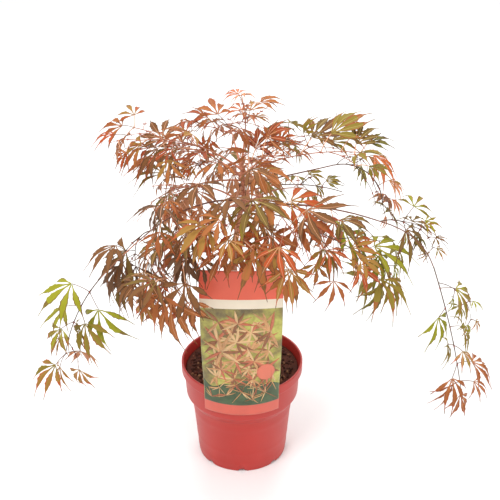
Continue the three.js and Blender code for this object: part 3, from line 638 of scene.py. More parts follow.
def try_leaf(hang, site, size, draw):
    """One try at a leaf: a stalk that leaves the node sideways, and a blade that faces out, up
    and to the light."""

    def stray():
        return np.array([next(draw) - 0.5, next(draw) - 0.5, next(draw) - 0.5])

    def rise(pulls):
        return pulls["up"] - pulls["hang"] * hang

    pulls = LEAF_STALK
    way = blend((site["along"], pulls["along"]), (site["side"], pulls["aside"]), (UP, rise(pulls)))
    stalk = unit(way + stray() * pulls["stray"])
    hub = site["node"] + stalk * (size * (pulls["length"] + pulls["length_more"] * next(draw)))
    outward = unit([hub[0], hub[1], 0.0])
    pulls = LEAF_RIB
    run = blend((stalk, pulls["stalk"]), (outward, pulls["out"]), (UP, rise(pulls)))
    rib = unit(run + stray() * pulls["stray"])
    pulls = LEAF_FACE
    face = blend((UP, rise(pulls)), (outward, pulls["out"] + pulls["hang_out"] * hang))
    face = face + LIGHT * pulls["light"] + stray() * pulls["stray"]
    face = unit(face - rib * (face @ rib))
    middle = size * (LEAF_BLADE["size"] + LEAF_BLADE["size_more"] * next(draw))
    curl = LEAF_BLADE["curl"] + LEAF_BLADE["curl_more"] * next(draw)
    return {"node": site["node"], "hub": hub, "rib": rib, "face": face, "size": middle, "curl": curl}


def blade_probes(leaf, outline):
    """Points spread over a blade, close enough that nothing passes between them."""
    following = np.roll(outline, -1, axis=0)
    c = (np.arange(PROBES_ACROSS) / PROBES_ACROSS)[None, None, :, None]
    r = (np.arange(1, PROBES_ALONG + 1) / PROBES_ALONG)[None, :, None, None]
    edge = outline[:, None, None] * (1 - c) + following[:, None, None] * c
    return (leaf["hub"] + (edge - leaf["hub"]) * r).reshape(-1, 3)


def dress_twig(own, path, nodes, size, twist):
    """A pair of sites at each of a twig's nodes, and one at its end."""
    sites = []
    still = np.ones(len(path))
    for i in range(1, nodes + 1):
        share = i / nodes
        point, along, _ = on_limb(path, still, share)
        level = unit(np.cross(UP, along))
        angle = (PAIR["lean"] if i % 2 else PAIR["next_lean"]) + twist
        side = level * math.cos(angle) + np.cross(along, level) * math.sin(angle)
        here = size * (PAIR["size"] - PAIR["fade"] * share)
        for way in (side, -side):
            sites.append({"own": own, "node": point, "along": along, "side": way, "size": here})
    point, along, _ = on_limb(path, still, 1)
    last = size * PAIR["end_size"]
    sites.append({"own": own, "node": point, "along": along, "side": along, "size": last})
    return sites


def shoot_path(stem, s, share, draw, kind, steps):
    """The path of a side shoot of a kind: along its stem, out to one side and a little up."""
    point, along, _ = on_limb(stem["path"], stem["radii"], share)
    level = unit(np.cross(UP, along))
    aside = (-1 if s % 2 else 1) * (SHOOT["aside"] + SHOOT["aside_more"] * next(draw))
    way = unit(blend((along, SHOOT["along"]), (level, aside), (UP, SHOOT["up"] * next(draw))))
    row = {
        "heading": math.degrees(math.atan2(way[1], way[0])),
        "rise": math.degrees(math.asin(way[2])),
        "length": stem["length"] * (kind["length"] + kind["length_more"] * next(draw)),
        "droop": SHOOT["droop"],
        "turn": 0,
    }
    return bent_path(point, row, steps)


class Crown:
    """All the foliage: every mass's twigs and leaves, grown in turn so none takes another's room."""

    def __init__(self, limbs, fullness):
        self.stems = grow_stems(limbs)
        self.cells = Cells(CELL)
        self.space = Space(self.stems)
        self.boxes = {}
        for name in MASSES:
            low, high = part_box(name)
            self.boxes[name] = (np.array(low) / MM - BOX_MARGIN, np.array(high) / MM + BOX_MARGIN)
        for number, row in enumerate(limbs.values()):
            self.cells.take(points_along(row["path"], STEP), LIMB_OWNER + number)
        for own, stem in enumerate(self.stems.values()):
            self.cells.take(points_along(stem["path"], STEP), own + 1)
        columns = math.ceil(CARD["width"] / STEP)
        rows = math.ceil((CARD["top"] - CARD["bottom"]) / STEP)
        across, up = np.meshgrid(np.linspace(-1, 1, columns + 1), np.linspace(0, 1, rows + 1))
        self.cells.take(card_point(across, up, 0.0).reshape(-1, 3), CARD_OWNER)
        self.masses = [self.grow_twigs(own) for own in range(len(self.stems))]
        self.place_first()
        self.place_late(fullness)

    def grow_twigs(self, own):
        """A mass's stem and side shoots, and the places where leaves stand on them."""
        name = self.space.names[own]
        stem = self.stems[name]
        twigs = [{"path": stem["path"], "radii": stem["radii"], "nodes": stem["nodes"]}]
        sites = dress_twig(own, stem["path"], stem["nodes"], stem["leaf"], stem["twist"])
        for s in range(stem["shoots"]):
            share = (s + 0.5) / (stem["shoots"] + 0.5)
            draw = seeded((own + 1) * SEEDS["mass"] + s)
            path = shoot_path(stem, s, share, draw, SHOOT, SHOOT["nodes"])
            probes = points_along(path, STEP, SHOOT["clear_from"])
            if not self.cells.free(probes, own + 1) or not self.space.holds(probes, own):
                continue
            self.cells.take(probes, own + 1)
            radii = TWIG["radius"] * (1 - SHOOT["taper"] * (np.arange(len(path)) + 1))
            twigs.append({"path": path, "radii": radii, "nodes": SHOOT["nodes"]})
            sites += dress_twig(own, path, SHOOT["nodes"], stem["leaf"] * SHOOT["leaf"], SHOOT["twist"])
        return {"name": name, "own": own, "twigs": twigs, "sites": sites, "leaves": []}

    def place_leaf(self, site, seed, late=False):
        """A leaf where one of a few tries keeps to its mass's space and touches nothing. A late
        leaf also keeps to its mass's box, but may stand close beside another."""
        own = site["own"]
        name = self.space.names[own]
        for t in range(TRIES):
            size = site["size"] * (1 - SHRINK * t / TRIES)
            draw = seeded(seed * SEEDS["tries"] + t)
            leaf = try_leaf(self.stems[name]["hang"], site, size, draw)
            outline = blade_outline(leaf)
            around = np.vstack([leaf["hub"][None], outline])
            if late:
                low, high = self.boxes[name]
                if (around < low).any() or (around > high).any():
                    continue
            if not self.space.holds(around, own):
                continue
            if not (self.cells.clear(around) if late else self.cells.free(around, own + 1)):
                continue
            stalk = points_along([leaf["node"], leaf["hub"]], STEP, STALK_CLEAR_FROM)
            probes = np.vstack([stalk, blade_probes(leaf, outline)])
            if not (self.cells.clear(probes) if late else self.cells.free(probes, own + 1)):
                continue
            if late:
                self.cells.mark(probes)
            else:
                self.cells.take(probes, LEAF_OWNER + seed)
            leaf["seed"] = seed
            return leaf
        return None

    def place_first(self):
        """The leaves of the solids, one in turn on each mass."""
        most = max(len(m["sites"]) for m in self.masses)
        for k in range(most):
            for mass in self.masses:
                if k >= len(mass["sites"]):
                    continue
                site = mass["sites"][k]
                leaf = self.place_leaf(site, (mass["own"] + 1) * SEEDS["site"] + k)
                site["bare"] = leaf is None
                if leaf is not None:
                    mass["leaves"].append(leaf)

    def place_late(self, fullness):
        """The finer growth: smaller leaves on sites still bare, then fine shoots off every twig."""
        for mass in self.masses:
            stem = self.stems[mass["name"]]
            own = mass["own"]
            late = [dict(s, size=s["size"] * FINE["late_leaf"]) for s in mass["sites"] if s["bare"]]
            wanted = round(stem["fine"] * fullness)
            base = list(mass["twigs"])
            for number, twig in enumerate(base):
                for s in range(wanted):
                    seed = SEEDS["fine_start"] + own * SEEDS["mass"] + number * SEEDS["twig"] + s
                    draw = seeded(seed)
                    share = (s + FINE["first"] + FINE["drift"] * next(draw)) / wanted
                    row = dict(twig, length=stem["length"])
                    path = shoot_path(row, s + number, share, draw, FINE, FINE["rings"])
                    probes = points_along(path, STEP, FINE["clear_from"])
                    low, high = self.boxes[mass["name"]]
                    if (probes < low).any() or (probes > high).any():
                        continue
                    if not self.cells.clear(probes) or not self.space.holds(probes, own):
                        continue
                    self.cells.mark(probes)
                    radii = FINE["radius"] * np.linspace(1, FINE["tip"], len(path))
                    nodes = FINE["nodes"]
                    mass["twigs"].append({"path": path, "radii": radii, "nodes": nodes})
                    twist = FINE["twist"] + next(draw)
                    late += dress_twig(own, path, nodes, stem["leaf"] * FINE["leaf"], twist)
            strays = STRAYS.get(mass["name"].removesuffix("_foliage"), ())
            for share, azimuth, rise, length, droop, turn, nodes, size in strays:
                point, _, _ = on_limb(stem["path"], stem["radii"], share)
                shape = dict(heading=azimuth, rise=rise, length=length, droop=droop, turn=turn)
                path = bent_path(point, shape, STRAY["rings"])
                self.cells.mark(points_along(path, STEP, FINE["clear_from"]))
                radii = np.linspace(STRAY["radius"], STRAY["tip_radius"], len(path))
                mass["twigs"].append({"path": path, "radii": radii, "nodes": STRAY["nodes"]})
                if size:
                    late = dress_twig(own, path, nodes, size, STRAY["twist"]) + late
            mass["late"] = late
        most = max(len(m["late"]) for m in self.masses)
        for k in range(most):
            for mass in self.masses:
                seed = SEEDS["late_start"] + (mass["own"] + 1) * SEEDS["late"] + k
                if k >= len(mass["late"]) or next(seeded(seed)) > self.stems[mass["name"]]["late"]:
                    continue
                leaf = self.place_leaf(mass["late"][k], seed, True)
                if leaf is not None:
                    mass["leaves"].append(leaf)


# ---------- Meshes ----------


class Sheet:
    """Collects the surfaces of one piece: points in millimetres, faces, and each face's slot."""

    def __init__(self):
        self.points = []
        self.corners = []
        self.sizes = []
        self.slots = []
        self.smooth = []
        self.count = 0

    def add(self, points, *parts):
        """Adds points, and parts of (faces, slot, smooth) that index them."""
        points = np.asarray(points, float).reshape(-1, 3)
        for faces, slot, smooth in parts:
            faces = np.asarray(faces, int)
            self.corners.append((faces + self.count).ravel())
            self.sizes.append(np.full(len(faces), faces.shape[1]))
            self.slots.append(np.broadcast_to(slot, (len(faces),)))
            self.smooth.append(np.broadcast_to(smooth, (len(faces),)))
        self.points.append(points)
        self.count += len(points)

    def bar(self, path, radii, sides, slot):
        """Adds a round bar with flat, closed ends."""
        points, faces, foot, tip = tube(path, radii, sides)
        self.add(points, (faces, slot, True), (foot, slot, False), (tip, slot, False))

    def piece(self, name, materials):
        """The finished object, linked to the scene, riding on the root body."""
        points = np.concatenate(self.points) * MM
        corners = np.concatenate(self.corners).astype(np.int32)
        sizes = np.concatenate(self.sizes).astype(np.int32)
        slots, used = np.unique(np.concatenate(self.slots), return_inverse=True)
        mesh = bpy.data.meshes.new(name)
        mesh.vertices.add(len(points))
        mesh.vertices.foreach_set("co", points.astype(np.float32).ravel())
        mesh.loops.add(len(corners))
        mesh.loops.foreach_set("vertex_index", corners)
        mesh.polygons.add(len(sizes))
        starts = np.concatenate([[0], np.cumsum(sizes)[:-1]])
        mesh.polygons.foreach_set("loop_start", starts.astype(np.int32))
        mesh.polygons.foreach_set("material_index", used.ravel().astype(np.int32))
        mesh.polygons.foreach_set("use_smooth", np.concatenate(self.smooth).astype(bool))
        mesh.update(calc_edges=True)
        if mesh.validate():
            raise RuntimeError(name + ": its mesh had faces that don't hold together")
        for slot in slots:
            mesh.materials.append(materials[int(slot)])
        made = bpy.data.objects.new(name, mesh)
        bpy.context.scene.collection.objects.link(made)
        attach(made, "root")
        return made


def weave(rows, columns, closed=False):
    """The four-sided faces of a grid of points, rows by columns, joined round if it is closed."""
    i, j = np.meshgrid(np.arange(rows - 1), np.arange(columns if closed else columns - 1), indexing="ij")
    k = (j + 1) % columns
    a = i * columns + j
    b = i * columns + k
    return np.stack([a, b, b + columns, a + columns], axis=-1).reshape(-1, 4)


def round_turn(sides):
    """Equal turns round a circle, in radians."""
    return 2 * np.pi * np.arange(sides) / sides


def tube(path, radii, sides):
    """A round bar along a path: rings of points set square to the path's run. Radii may vary
    round each ring. Returns the points and its parts, its ends closed."""
    path = np.asarray(path, float)
    run = np.gradient(path, axis=0)
    along = unit(run)
    mean = unit(path[-1] - path[0])
    first = np.eye(3)[np.argmin(np.abs(mean))]
    side = unit(first - along * (along @ first)[:, None])
    other = np.cross(along, side)
    a = round_turn(sides)
    radii = np.asarray(radii, float)
    if radii.ndim == 1:
        radii = radii[:, None] * np.ones(sides)
    ring = side[:, None] * np.cos(a)[None, :, None] + other[:, None] * np.sin(a)[None, :, None]
    points = path[:, None] + ring * radii[..., None]
    faces = weave(len(path), sides, closed=True)
    last = (len(path) - 1) * sides
    foot = np.arange(sides)[::-1][None]
    tip = (last + np.arange(sides))[None]
    return points.reshape(-1, 3), faces, foot, tip


def turned(profile, sides):
    """A profile of (radius, height) turned round the upright axis, as points and faces. The
    profile starts and ends on the axis, where a fan closes it."""
    profile = np.asarray(profile, float)
    a = round_turn(sides)
    r = profile[1:-1, 0][:, None]
    z = np.broadcast_to(profile[1:-1, 1][:, None], (len(profile) - 2, sides))
    rings = np.stack([r * np.cos(a), r * np.sin(a), z], axis=-1)
    points = np.vstack([rings.reshape(-1, 3), [[0, 0, profile[0, 1]], [0, 0, profile[-1, 1]]]])
    body = weave(len(profile) - 2, sides, closed=True)
    count = (len(profile) - 2) * sides
    k = np.arange(sides)
    nxt = (k + 1) % sides
    low = np.stack([np.full(sides, count), nxt, k], axis=-1)
    top = count - sides
    high = np.stack([np.full(sides, count + 1), top + k, top + nxt], axis=-1)
    return points, body, low, high


def rounded(corners, radius):
    """A profile with its inner corners rounded: each is replaced by a quadratic curve that starts
    and ends a radius away, or less where the next corner is near."""
    corners = np.asarray(corners, float)
    out = [corners[:1]]
    for before, here, after in zip(corners[:-2], corners[1:-1], corners[2:]):
        back = np.linalg.norm(before - here)
        on = np.linalg.norm(after - here)
        reach = min(radius, back * 0.45, on * 0.45)
        a = here + (before - here) / back * reach
        b = here + (after - here) / on * reach
        t = np.linspace(0, 1, 5)[:, None]
        out.append((1 - t) ** 2 * a + 2 * t * (1 - t) * here + t**2 * b)
    out.append(corners[-1:])
    return np.concatenate(out)


def dense(profile, step):
    """The same profile with points added so that none are further apart than a step."""
    far = lengths_along(profile)
    parts = []
    for k in range(len(profile) - 1):
        count = max(1, math.ceil((far[k + 1] - far[k]) / step))
        t = (np.arange(count) / count)[:, None]
        parts.append(profile[k] * (1 - t) + profile[k + 1] * t)
    parts.append(profile[-1:])
    return np.concatenate(parts)


def ripple(u, v, seed, waves, coarse, fine):
    """A smooth uneven field of two parameters, the first of them running round once: the sum of
    cosines whose turns and phases are drawn from a seed, the finer ones weaker."""
    rng = np.random.default_rng(seed)
    total = np.zeros(np.broadcast(u, v).shape)
    for k in range(waves):
        rate = coarse + (fine - coarse) * k / waves
        turns = np.round(rng.normal(0, rate))
        climb = rng.normal(0, rate)
        total += np.cos(u * turns + v * climb + rng.uniform(0, 2 * np.pi)) / (1 + k) ** 0.5
    return total / 3.0


# ---------- Finishes ----------


def surface(name, colour, roughness, **sockets):
    """A material with its shader's plain sockets set, and its nodes and shader returned with it."""
    made = bpy.data.materials.new(name)
    made.use_nodes = True
    shader = made.node_tree.nodes["Principled BSDF"]
    shader.inputs["Base Color"].default_value = (*colour, 1.0)
    shader.inputs["Roughness"].default_value = roughness
    for key, value in sockets.items():
        shader.inputs[key.replace("_", " ").title().replace("Ior", "IOR")].default_value = value
    made.diffuse_color = (*colour, 1.0)
    return made, made.node_tree, shader


def coordinates(tree, scale=(1.0, 1.0, 1.0)):
    """Object coordinates through a mapping that stretches them."""
    source = tree.nodes.new("ShaderNodeTexCoord")
    mapping = tree.nodes.new("ShaderNodeMapping")
    mapping.inputs["Scale"].default_value = scale
    tree.links.new(source.outputs["Object"], mapping.inputs["Vector"])
    return mapping.outputs["Vector"]


def noise(tree, vector, scale, detail=4.0, rough=0.55):
    """A noise field's value."""
    node = tree.nodes.new("ShaderNodeTexNoise")
    node.inputs["Scale"].default_value = scale
    node.inputs["Detail"].default_value = detail
    node.inputs["Roughness"].default_value = rough
    tree.links.new(vector, node.inputs["Vector"])
    return node.outputs["Fac"]


def ramp(tree, value, stops):
    """Colours laid over a value, at the given places from 0 to 1."""
    node = tree.nodes.new("ShaderNodeValToRGB")
    band = node.color_ramp
    while len(band.elements) < len(stops):
        band.elements.new(0.5)
    for element, (place, colour) in zip(band.elements, stops):
        element.position = place
        element.color = (*colour, 1.0)
    tree.links.new(value, node.inputs["Fac"])
    return node.outputs["Color"]


def bump(tree, shader, height, distance, strength=1.0):
    """Relief from a height, in metres."""
    node = tree.nodes.new("ShaderNodeBump")
    node.inputs["Distance"].default_value = distance
    node.inputs["Strength"].default_value = strength
    tree.links.new(height, node.inputs["Height"])
    tree.links.new(node.outputs["Normal"], shader.inputs["Normal"])


def shaded(colour, factor):
    """A colour made lighter or darker by a factor."""
    return tuple(min(1.0, c * factor) for c in colour)


def mottled(name, colour, roughness, scale, spread, relief, stretch=(1, 1, 1), detail=4.0):
    """A material whose colour drifts between a darker and a lighter shade over noise, with relief
    from a finer noise."""
    made, tree, shader = surface(name, colour, roughness)
    vector = coordinates(tree, stretch)
    value = noise(tree, vector, scale, detail)
    stops = [(0.3, shaded(colour, 1 - spread)), (0.7, shaded(colour, 1 + spread))]
    tree.links.new(ramp(tree, value, stops), shader.inputs["Base Color"])
    if relief:
        bump(tree, shader, noise(tree, vector, scale * 3.1, detail), relief)
    return made


# ---------- Settings ----------


def colour_setting(name, text, value):
    """A colour."""
    return FloatVectorProperty(
        name=name, description=text, size=3, subtype="COLOR", min=0, max=1, default=value
    )


def length_setting(name, text, value, least, most):
    """A length in metres."""
    return FloatProperty(
        name=name, description=text, default=value, min=least, max=most, unit="LENGTH", precision=5
    )


def count_setting(name, text, value, least, most):
    """A whole number."""
    return IntProperty(name=name, description=text, default=value, min=least, max=most)


def share_setting(name, text, value, most=1):
    """A part of something."""
    return FloatProperty(name=name, description=text, default=value, min=0, max=most, subtype="FACTOR")


class MaplePotSettings(bpy.types.PropertyGroup):
    """Sizes and colours of the pot"""

    colour: colour_setting("Plastic", "Colour of the pot's plastic", tone(178, 48, 40))
    roughness: share_setting("Roughness", "How matt the plastic is", 0.42)
    ring_height: length_setting("Ring Height", "How far the rings stand off the wall", 0.00035, 0, 0.002)
    sides: count_setting("Sides", "Points round the pot", 160, 32, 256)


class MapleSoilSettings(bpy.types.PropertyGroup):
    """Sizes and colours of the soil"""

    colour: colour_setting("Compost", "Colour of the moist compost", tone(82, 37, 19))
    crumb: length_setting("Crumb", "Usual size of a crumb on the surface", 0.0028, 0.0005, 0.005)
    crumbs: count_setting("Crumbs", "How many crumbs lie on top", 1100, 0, 2000)


class MapleLabelSettings(bpy.types.PropertyGroup):
    """Colours of the plant label"""

    header: colour_setting("Header", "Colour of the top field", tone(222, 94, 68))
    strip: colour_setting("Strip", "Colour of the narrow strip under the header", tone(228, 216, 194))
    print_scale: length_setting("Print Scale", "Size of the picture's blots", 0.02, 0.002, 0.05)


class MapleBarkSettings(bpy.types.PropertyGroup):
    """Colours and relief of the trunk, boughs and twigs"""

    colour: colour_setting("Bark", "Colour of the trunk's bark", tone(126, 86, 66))
    # The twig colour is pale partly as the young wood's own reddish tone and partly as painted highlight;
    # the long boughs take a darker copy of it.
    twig: colour_setting("Twig", "Colour of the young wood", tone(166, 106, 80))
    relief: share_setting("Relief", "Depth of the bark's ridges, as a share of the radius", 0.045, 0.2)


class MapleFoliageSettings(bpy.types.PropertyGroup):
    """Sizes of the leaves and twigs"""

    thickness: length_setting("Leaf Thickness", "Thickness of a leaf's blade", 0.0004, 0.0001, 0.001)
    rib_width: length_setting("Rib Width", "Half width of a lobe's rib at its foot", 0.00034, 0.0001, 0.001)
    lobe_width: share_setting("Lobe Width", "Half width of a lobe, as a share of its length", 0.091, 0.25)
    neck: share_setting("Neck", "How sharply a lobe narrows towards its foot", 3.1, 4)
    teeth: share_setting("Teeth", "Depth of the leaf margin's teeth", 0.1, 0.5)
    fold: share_setting("Fold", "How steeply a lobe folds up from its rib", 0.45)
    fullness: share_setting("Fullness", "How many of the finer shoots grow", 1.0, 2)


class MapleStageSettings(bpy.types.PropertyGroup):
    """Floor, light and camera"""

    floor: colour_setting("Floor", "Colour of the plain floor", (0.88, 0.88, 0.88))
    key: FloatProperty(
        name="Key Light",
        description="Power of the main soft light",
        default=30.0,
        min=0,
        max=200,
        unit="POWER",
    )
    lens: FloatProperty(
        name="Lens", description="Focal length in millimetres", default=72.0, min=20, max=200
    )


# ---------- Pieces ----------


# The foot's ring: how far its floor is raised, how far in from the base its edges lie, and its notches.
FOOT = dict(rise=0.6, inner=9, outer=8, notched=9.5, notch=0.9)
BAND_STEP = dict(drop=4.5, lean=0.3)
PROFILE = dict(round=1.2, step=2.2, lip_slope=0.6, skin=0.6)
# The moulded rings round the pot's wall: height, width and share of the full relief.
RINGS = ((58.0, 3.2, 1.0), (24.0, 2.4, 0.6), (9.0, 2.4, 0.8))


class MAPLE_OT_pot(bpy.types.Operator):
    """Turn the nursery pot with its lip, collar, shoulder and notched foot"""

    bl_idname = "maple.pot"
    bl_label = "Pot"

    def execute(self, context):
        look = context.scene.maple_pot
        h = POT_HEIGHT
        outside = [
            (0, FOOT["rise"]),
            (BASE_RADIUS - FOOT["inner"], FOOT["rise"]),
            (BASE_RADIUS - FOOT["outer"], 0),
            (BASE_RADIUS, 0),
            (SHOULDER_RADIUS, h - SHOULDER_DEPTH),
            (BAND_LOW_RADIUS, h - BAND_DEPTH - BAND_STEP["drop"]),
            (BAND_LOW_RADIUS + BAND_STEP["lean"], h - BAND_DEPTH),
            (BAND_RADIUS, h - LIP_HEIGHT - 1),
            (RIM_RADIUS, h - LIP_HEIGHT),
            (RIM_RADIUS, h),
            (RIM_RADIUS - WALL - PROFILE["lip_slope"], h),
        ]
        inside = [
            (BAND_RADIUS - WALL, h - LIP_HEIGHT - 1),
            (BAND_LOW_RADIUS - WALL, h - BAND_DEPTH),
            (SHOULDER_RADIUS - WALL, h - SHOULDER_DEPTH),
            (BASE_RADIUS - WALL, FLOOR + BASE_ROUND),
            (BASE_RADIUS - BASE_ROUND, FLOOR),
            (0, FLOOR),
        ]
        profile = dense(rounded(outside + inside, PROFILE["round"]), PROFILE["step"])
        points, body, low, high = turned(profile, look.sides)
        around = np.arctan2(points[:, 1], points[:, 0])
        radius = np.hypot(points[:, 0], points[:, 1])
        z = points[:, 2]
        wall_at = np.interp(z, [0, h - SHOULDER_DEPTH], [BASE_RADIUS, SHOULDER_RADIUS])
        outer = (radius > wall_at - PROFILE["skin"]) & (z < h - SHOULDER_DEPTH)
        # Moulded rings: each lifts the wall by a bell curve of the height from its middle.
        height = look.ring_height / MM
        lift = np.zeros(len(points))
        for centre, width, share in RINGS:
            lift += share * height * np.exp(-(((z - centre) / width) ** 2))
        grown = np.where(outer, (radius + lift) / np.maximum(radius, 1e-6), 1.0)
        points[:, :2] *= grown[:, None]
        # Drain notches: the foot's underside lifts in a half circle at even turns round it.
        turn = 2 * np.pi / DRAINS
        off = (around - turn / 2 + np.pi) % turn - turn / 2
        notch = np.sqrt(np.maximum(0, DRAIN_RADIUS**2 - (off * radius) ** 2))
        low_part = (z < DRAIN_RADIUS + 1) & (radius > BASE_RADIUS - FOOT["notched"])
        points[:, 2] = np.where(low_part & (notch > z), notch * FOOT["notch"], z)
        sheet = Sheet()
        sheet.add(points, (body, 0, True), (low, 0, True), (high, 0, True))
        made, tree, shader = surface("pot_plastic", look.colour, look.roughness, specular_ior_level=0.45)
        vector = coordinates(tree)
        stops = [(0.3, shaded(look.colour, 0.93)), (0.7, shaded(look.colour, 1.06))]
        tree.links.new(ramp(tree, noise(tree, vector, 22.0, 5.0), stops), shader.inputs["Base Color"])
        bump(tree, shader, noise(tree, vector, 900.0, 3.0), 0.0001, 0.5)
        pot = sheet.piece("nursery_pot", [made])
        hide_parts("pot")
        return {"FINISHED"}


# The flat round the stem, the soil's own grid and unevenness, and its crumbs.
CLEARING = 18
SOIL = dict(inset=0.6, sunk=0.6, rings=34, sides=96, step=12.0, fade=4.0, uneven=0.55, rough=0.35)
CRUMB = dict(rings=4, sides=7, spread=0.4, most=4.2, sunk=0.5, proud=0.12, margin=1.5)


def mound(share, edge):
    """The soil's rise at a share of its radius: a straight slope up to a flat top at the stem."""
    return SOIL_MOUND * np.clip((1 - share) / (1 - CLEARING / edge), 0, 1)


class MAPLE_OT_soil(bpy.types.Operator):
    """Fill the pot with compost, its top uneven and strewn with crumbs"""

    bl_idname = "maple.soil"
    bl_label = "Soil"

    def execute(self, context):
        look = context.scene.maple_soil
        wall = [
            (0, FLOOR + GAP),
            (BASE_RADIUS - BASE_ROUND - GAP, FLOOR + GAP),
            (BASE_RADIUS - WALL - GAP, FLOOR + BASE_ROUND),
            (SHOULDER_RADIUS - WALL - GAP, POT_HEIGHT - SHOULDER_DEPTH),
            (BAND_LOW_RADIUS - WALL - GAP, POT_HEIGHT - BAND_DEPTH),
            (BAND_RADIUS - WALL - 0.4, SOIL_LEVEL - 1),
        ]
        edge = BAND_RADIUS - WALL - SOIL["inset"]
        share = np.linspace(1, 0, SOIL["rings"])
        top = np.stack([edge * share, SOIL_LEVEL - SOIL["sunk"] + mound(share, edge)], axis=-1)
        profile = np.vstack([dense(np.array(wall, float), SOIL["step"]), top])
        points, body, low, high = turned(profile, SOIL["sides"])
        radius = np.hypot(points[:, 0], points[:, 1])
        around = np.arctan2(points[:, 1], points[:, 0])
        uneven = ripple(around, radius / 9.0, 11, waves=22, coarse=1.0, fine=9.0)
        rough = ripple(around, radius / 2.2, 12, waves=18, coarse=6.0, fine=18.0)
        on_top = (points[:, 2] > SOIL_LEVEL - 0.9) & (radius < edge - 0.5)
        fade = np.clip((edge - radius) / SOIL["fade"], 0, 1)
        lift = SOIL["uneven"] * uneven + SOIL["rough"] * rough
        points[:, 2] += np.where(on_top, lift * fade, 0)
        sheet = Sheet()
        sheet.add(points, (body, 0, True), (low, 0, True), (high, 0, True))
        self.strew(sheet, look, edge)
        compost = mottled("compost", look.colour, 0.95, 260.0, 0.38, 0.0012, detail=6.0)
        dark = mottled("compost_dark", shaded(look.colour, 0.6), 0.97, 400.0, 0.3, 0.0006)
        chips = mottled("bark_chip", tone(140, 98, 68), 0.9, 500.0, 0.3, 0.0005, stretch=(1, 1, 4))
        made = sheet.piece("compost_fill", [compost, dark, chips])
        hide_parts("soil")
        return {"FINISHED"}

    def strew(self, sheet, look, edge):
        """Crumbs: small lumps, each a ball's grid swollen by a drawn unevenness and half sunk."""
        rng = np.random.default_rng(21)
        rows, columns = CRUMB["rings"], CRUMB["sides"]
        t = np.linspace(0.14, 0.86, rows)[:, None] * np.pi
        a = round_turn(columns)
        level = np.broadcast_to(np.cos(t), (rows, columns))
        ball = np.stack([np.sin(t) * np.cos(a), np.sin(t) * np.sin(a), level], axis=-1).reshape(-1, 3)
        sides = weave(rows, columns, closed=True)[:, ::-1]
        cap = np.arange(columns)[None]
        tail = ((rows - 1) * columns + np.arange(columns))[::-1][None]
        for _ in range(look.crumbs):
            size = min(look.crumb / MM * rng.lognormal(0, CRUMB["spread"]), CRUMB["most"])
            reach = (edge - CRUMB["margin"] - size) * math.sqrt(rng.uniform(0.02, 1))
            turn = rng.uniform(0, 2 * np.pi)
            swollen = ball * size * 0.5 * rng.uniform(0.75, 1.25, (len(ball), 1))
            lumps = swollen * rng.uniform(0.45, 1.5, 3)
            spin, _ = np.linalg.qr(rng.normal(size=(3, 3)))
            if np.linalg.det(spin) < 0:
                spin[:, 0] *= -1
            height = SOIL_LEVEL - CRUMB["sunk"] + mound(reach / edge, edge) + size * CRUMB["proud"]
            place = [reach * math.cos(turn), reach * math.sin(turn), height]
            kind = int(rng.choice([0, 1, 1, 2], p=[0.25, 0.3, 0.25, 0.2]))
            sheet.add(lumps @ spin.T + place, (sides, kind, True), (cap, kind, True), (tail, kind, True))


# The label's bands as shares of its height, and how the printed shapes are laid on it.
BANDS = dict(foot=0.085, strip=0.755, header=0.815)
PRINT = dict(sunk=0.3, lift=0.05, step=0.002, margin=0.4, rough=0.35, rows=85, columns=41)
# Stars, tufts and the disc of the printed picture, in millimetres, and its slanting stems.
STARS = dict(count=21, leaves=9, least=14, most=24, width=0.145, reach=33, foot=30, rise=78, apart=36)
TUFTS = dict(count=9, threads=9, least=8, most=19, start=-32, apart=8, foot=7, rise=22)
DISC = dict(x=25, y=40, radius=9.5)
SLANTS = ((24, 22, 112, 42), (-12, 20, 76, 36), (6, 24, 54, 34))
# The picture's ground: colours over a noise. The inks: name, colour, grain and unevenness.
PICTURE = (
    (0.32, (92, 78, 44)),
    (0.44, (128, 114, 56)),
    (0.54, (160, 154, 68)),
    (0.64, (186, 184, 88)),
    (0.76, (150, 132, 72)),
)
INKS = (
    ("ink_dark_green", (66, 84, 54), 120.0, 0.35),
    ("ink_russet", (184, 104, 74), 160.0, 0.2),
    ("ink_tan", (196, 146, 98), 160.0, 0.2),
    ("ink_cream", (210, 172, 124), 160.0, 0.15),
    ("ink_brown", (142, 92, 58), 160.0, 0.25),
    ("ink_disc", (208, 112, 88), 60.0, 0.05),
)


def card_shell(across, up, front, back):
    """The points of a thin curved plate between two depths, over a grid of the label's own
    parameters, with its faces: front, back and rim."""
    rows, columns = across.shape
    outer = card_point(across, up, front).reshape(-1, 3)
    inner = card_point(across, up, back).reshape(-1, 3)
    grid = weave(rows, columns)
    count = rows * columns
    low = np.arange(columns)
    right = np.arange(rows) * columns + columns - 1
    high = np.arange(count - 1, count - columns - 1, -1)
    left = np.arange(rows)[::-1] * columns
    rim = np.concatenate([low[:-1], right[:-1], high[:-1], left[:-1]])
    nxt = np.roll(rim, -1)
    edge = np.stack([rim, rim + count, nxt + count, nxt], axis=-1)
    return np.vstack([outer, inner]), grid, grid[:, ::-1] + count, edge


def printed_shape(x, y, lift):
    """A printed shape on the label: a grid of places in millimetres from the label's middle foot,
    laid on the curved front a hair's breadth proud and closed behind."""
    across = x / (CARD["width"] / 2)
    up = y / (CARD["top"] - CARD["bottom"])
    return card_shell(across, up, CARD["thickness"] + lift, CARD["thickness"] - PRINT["sunk"])


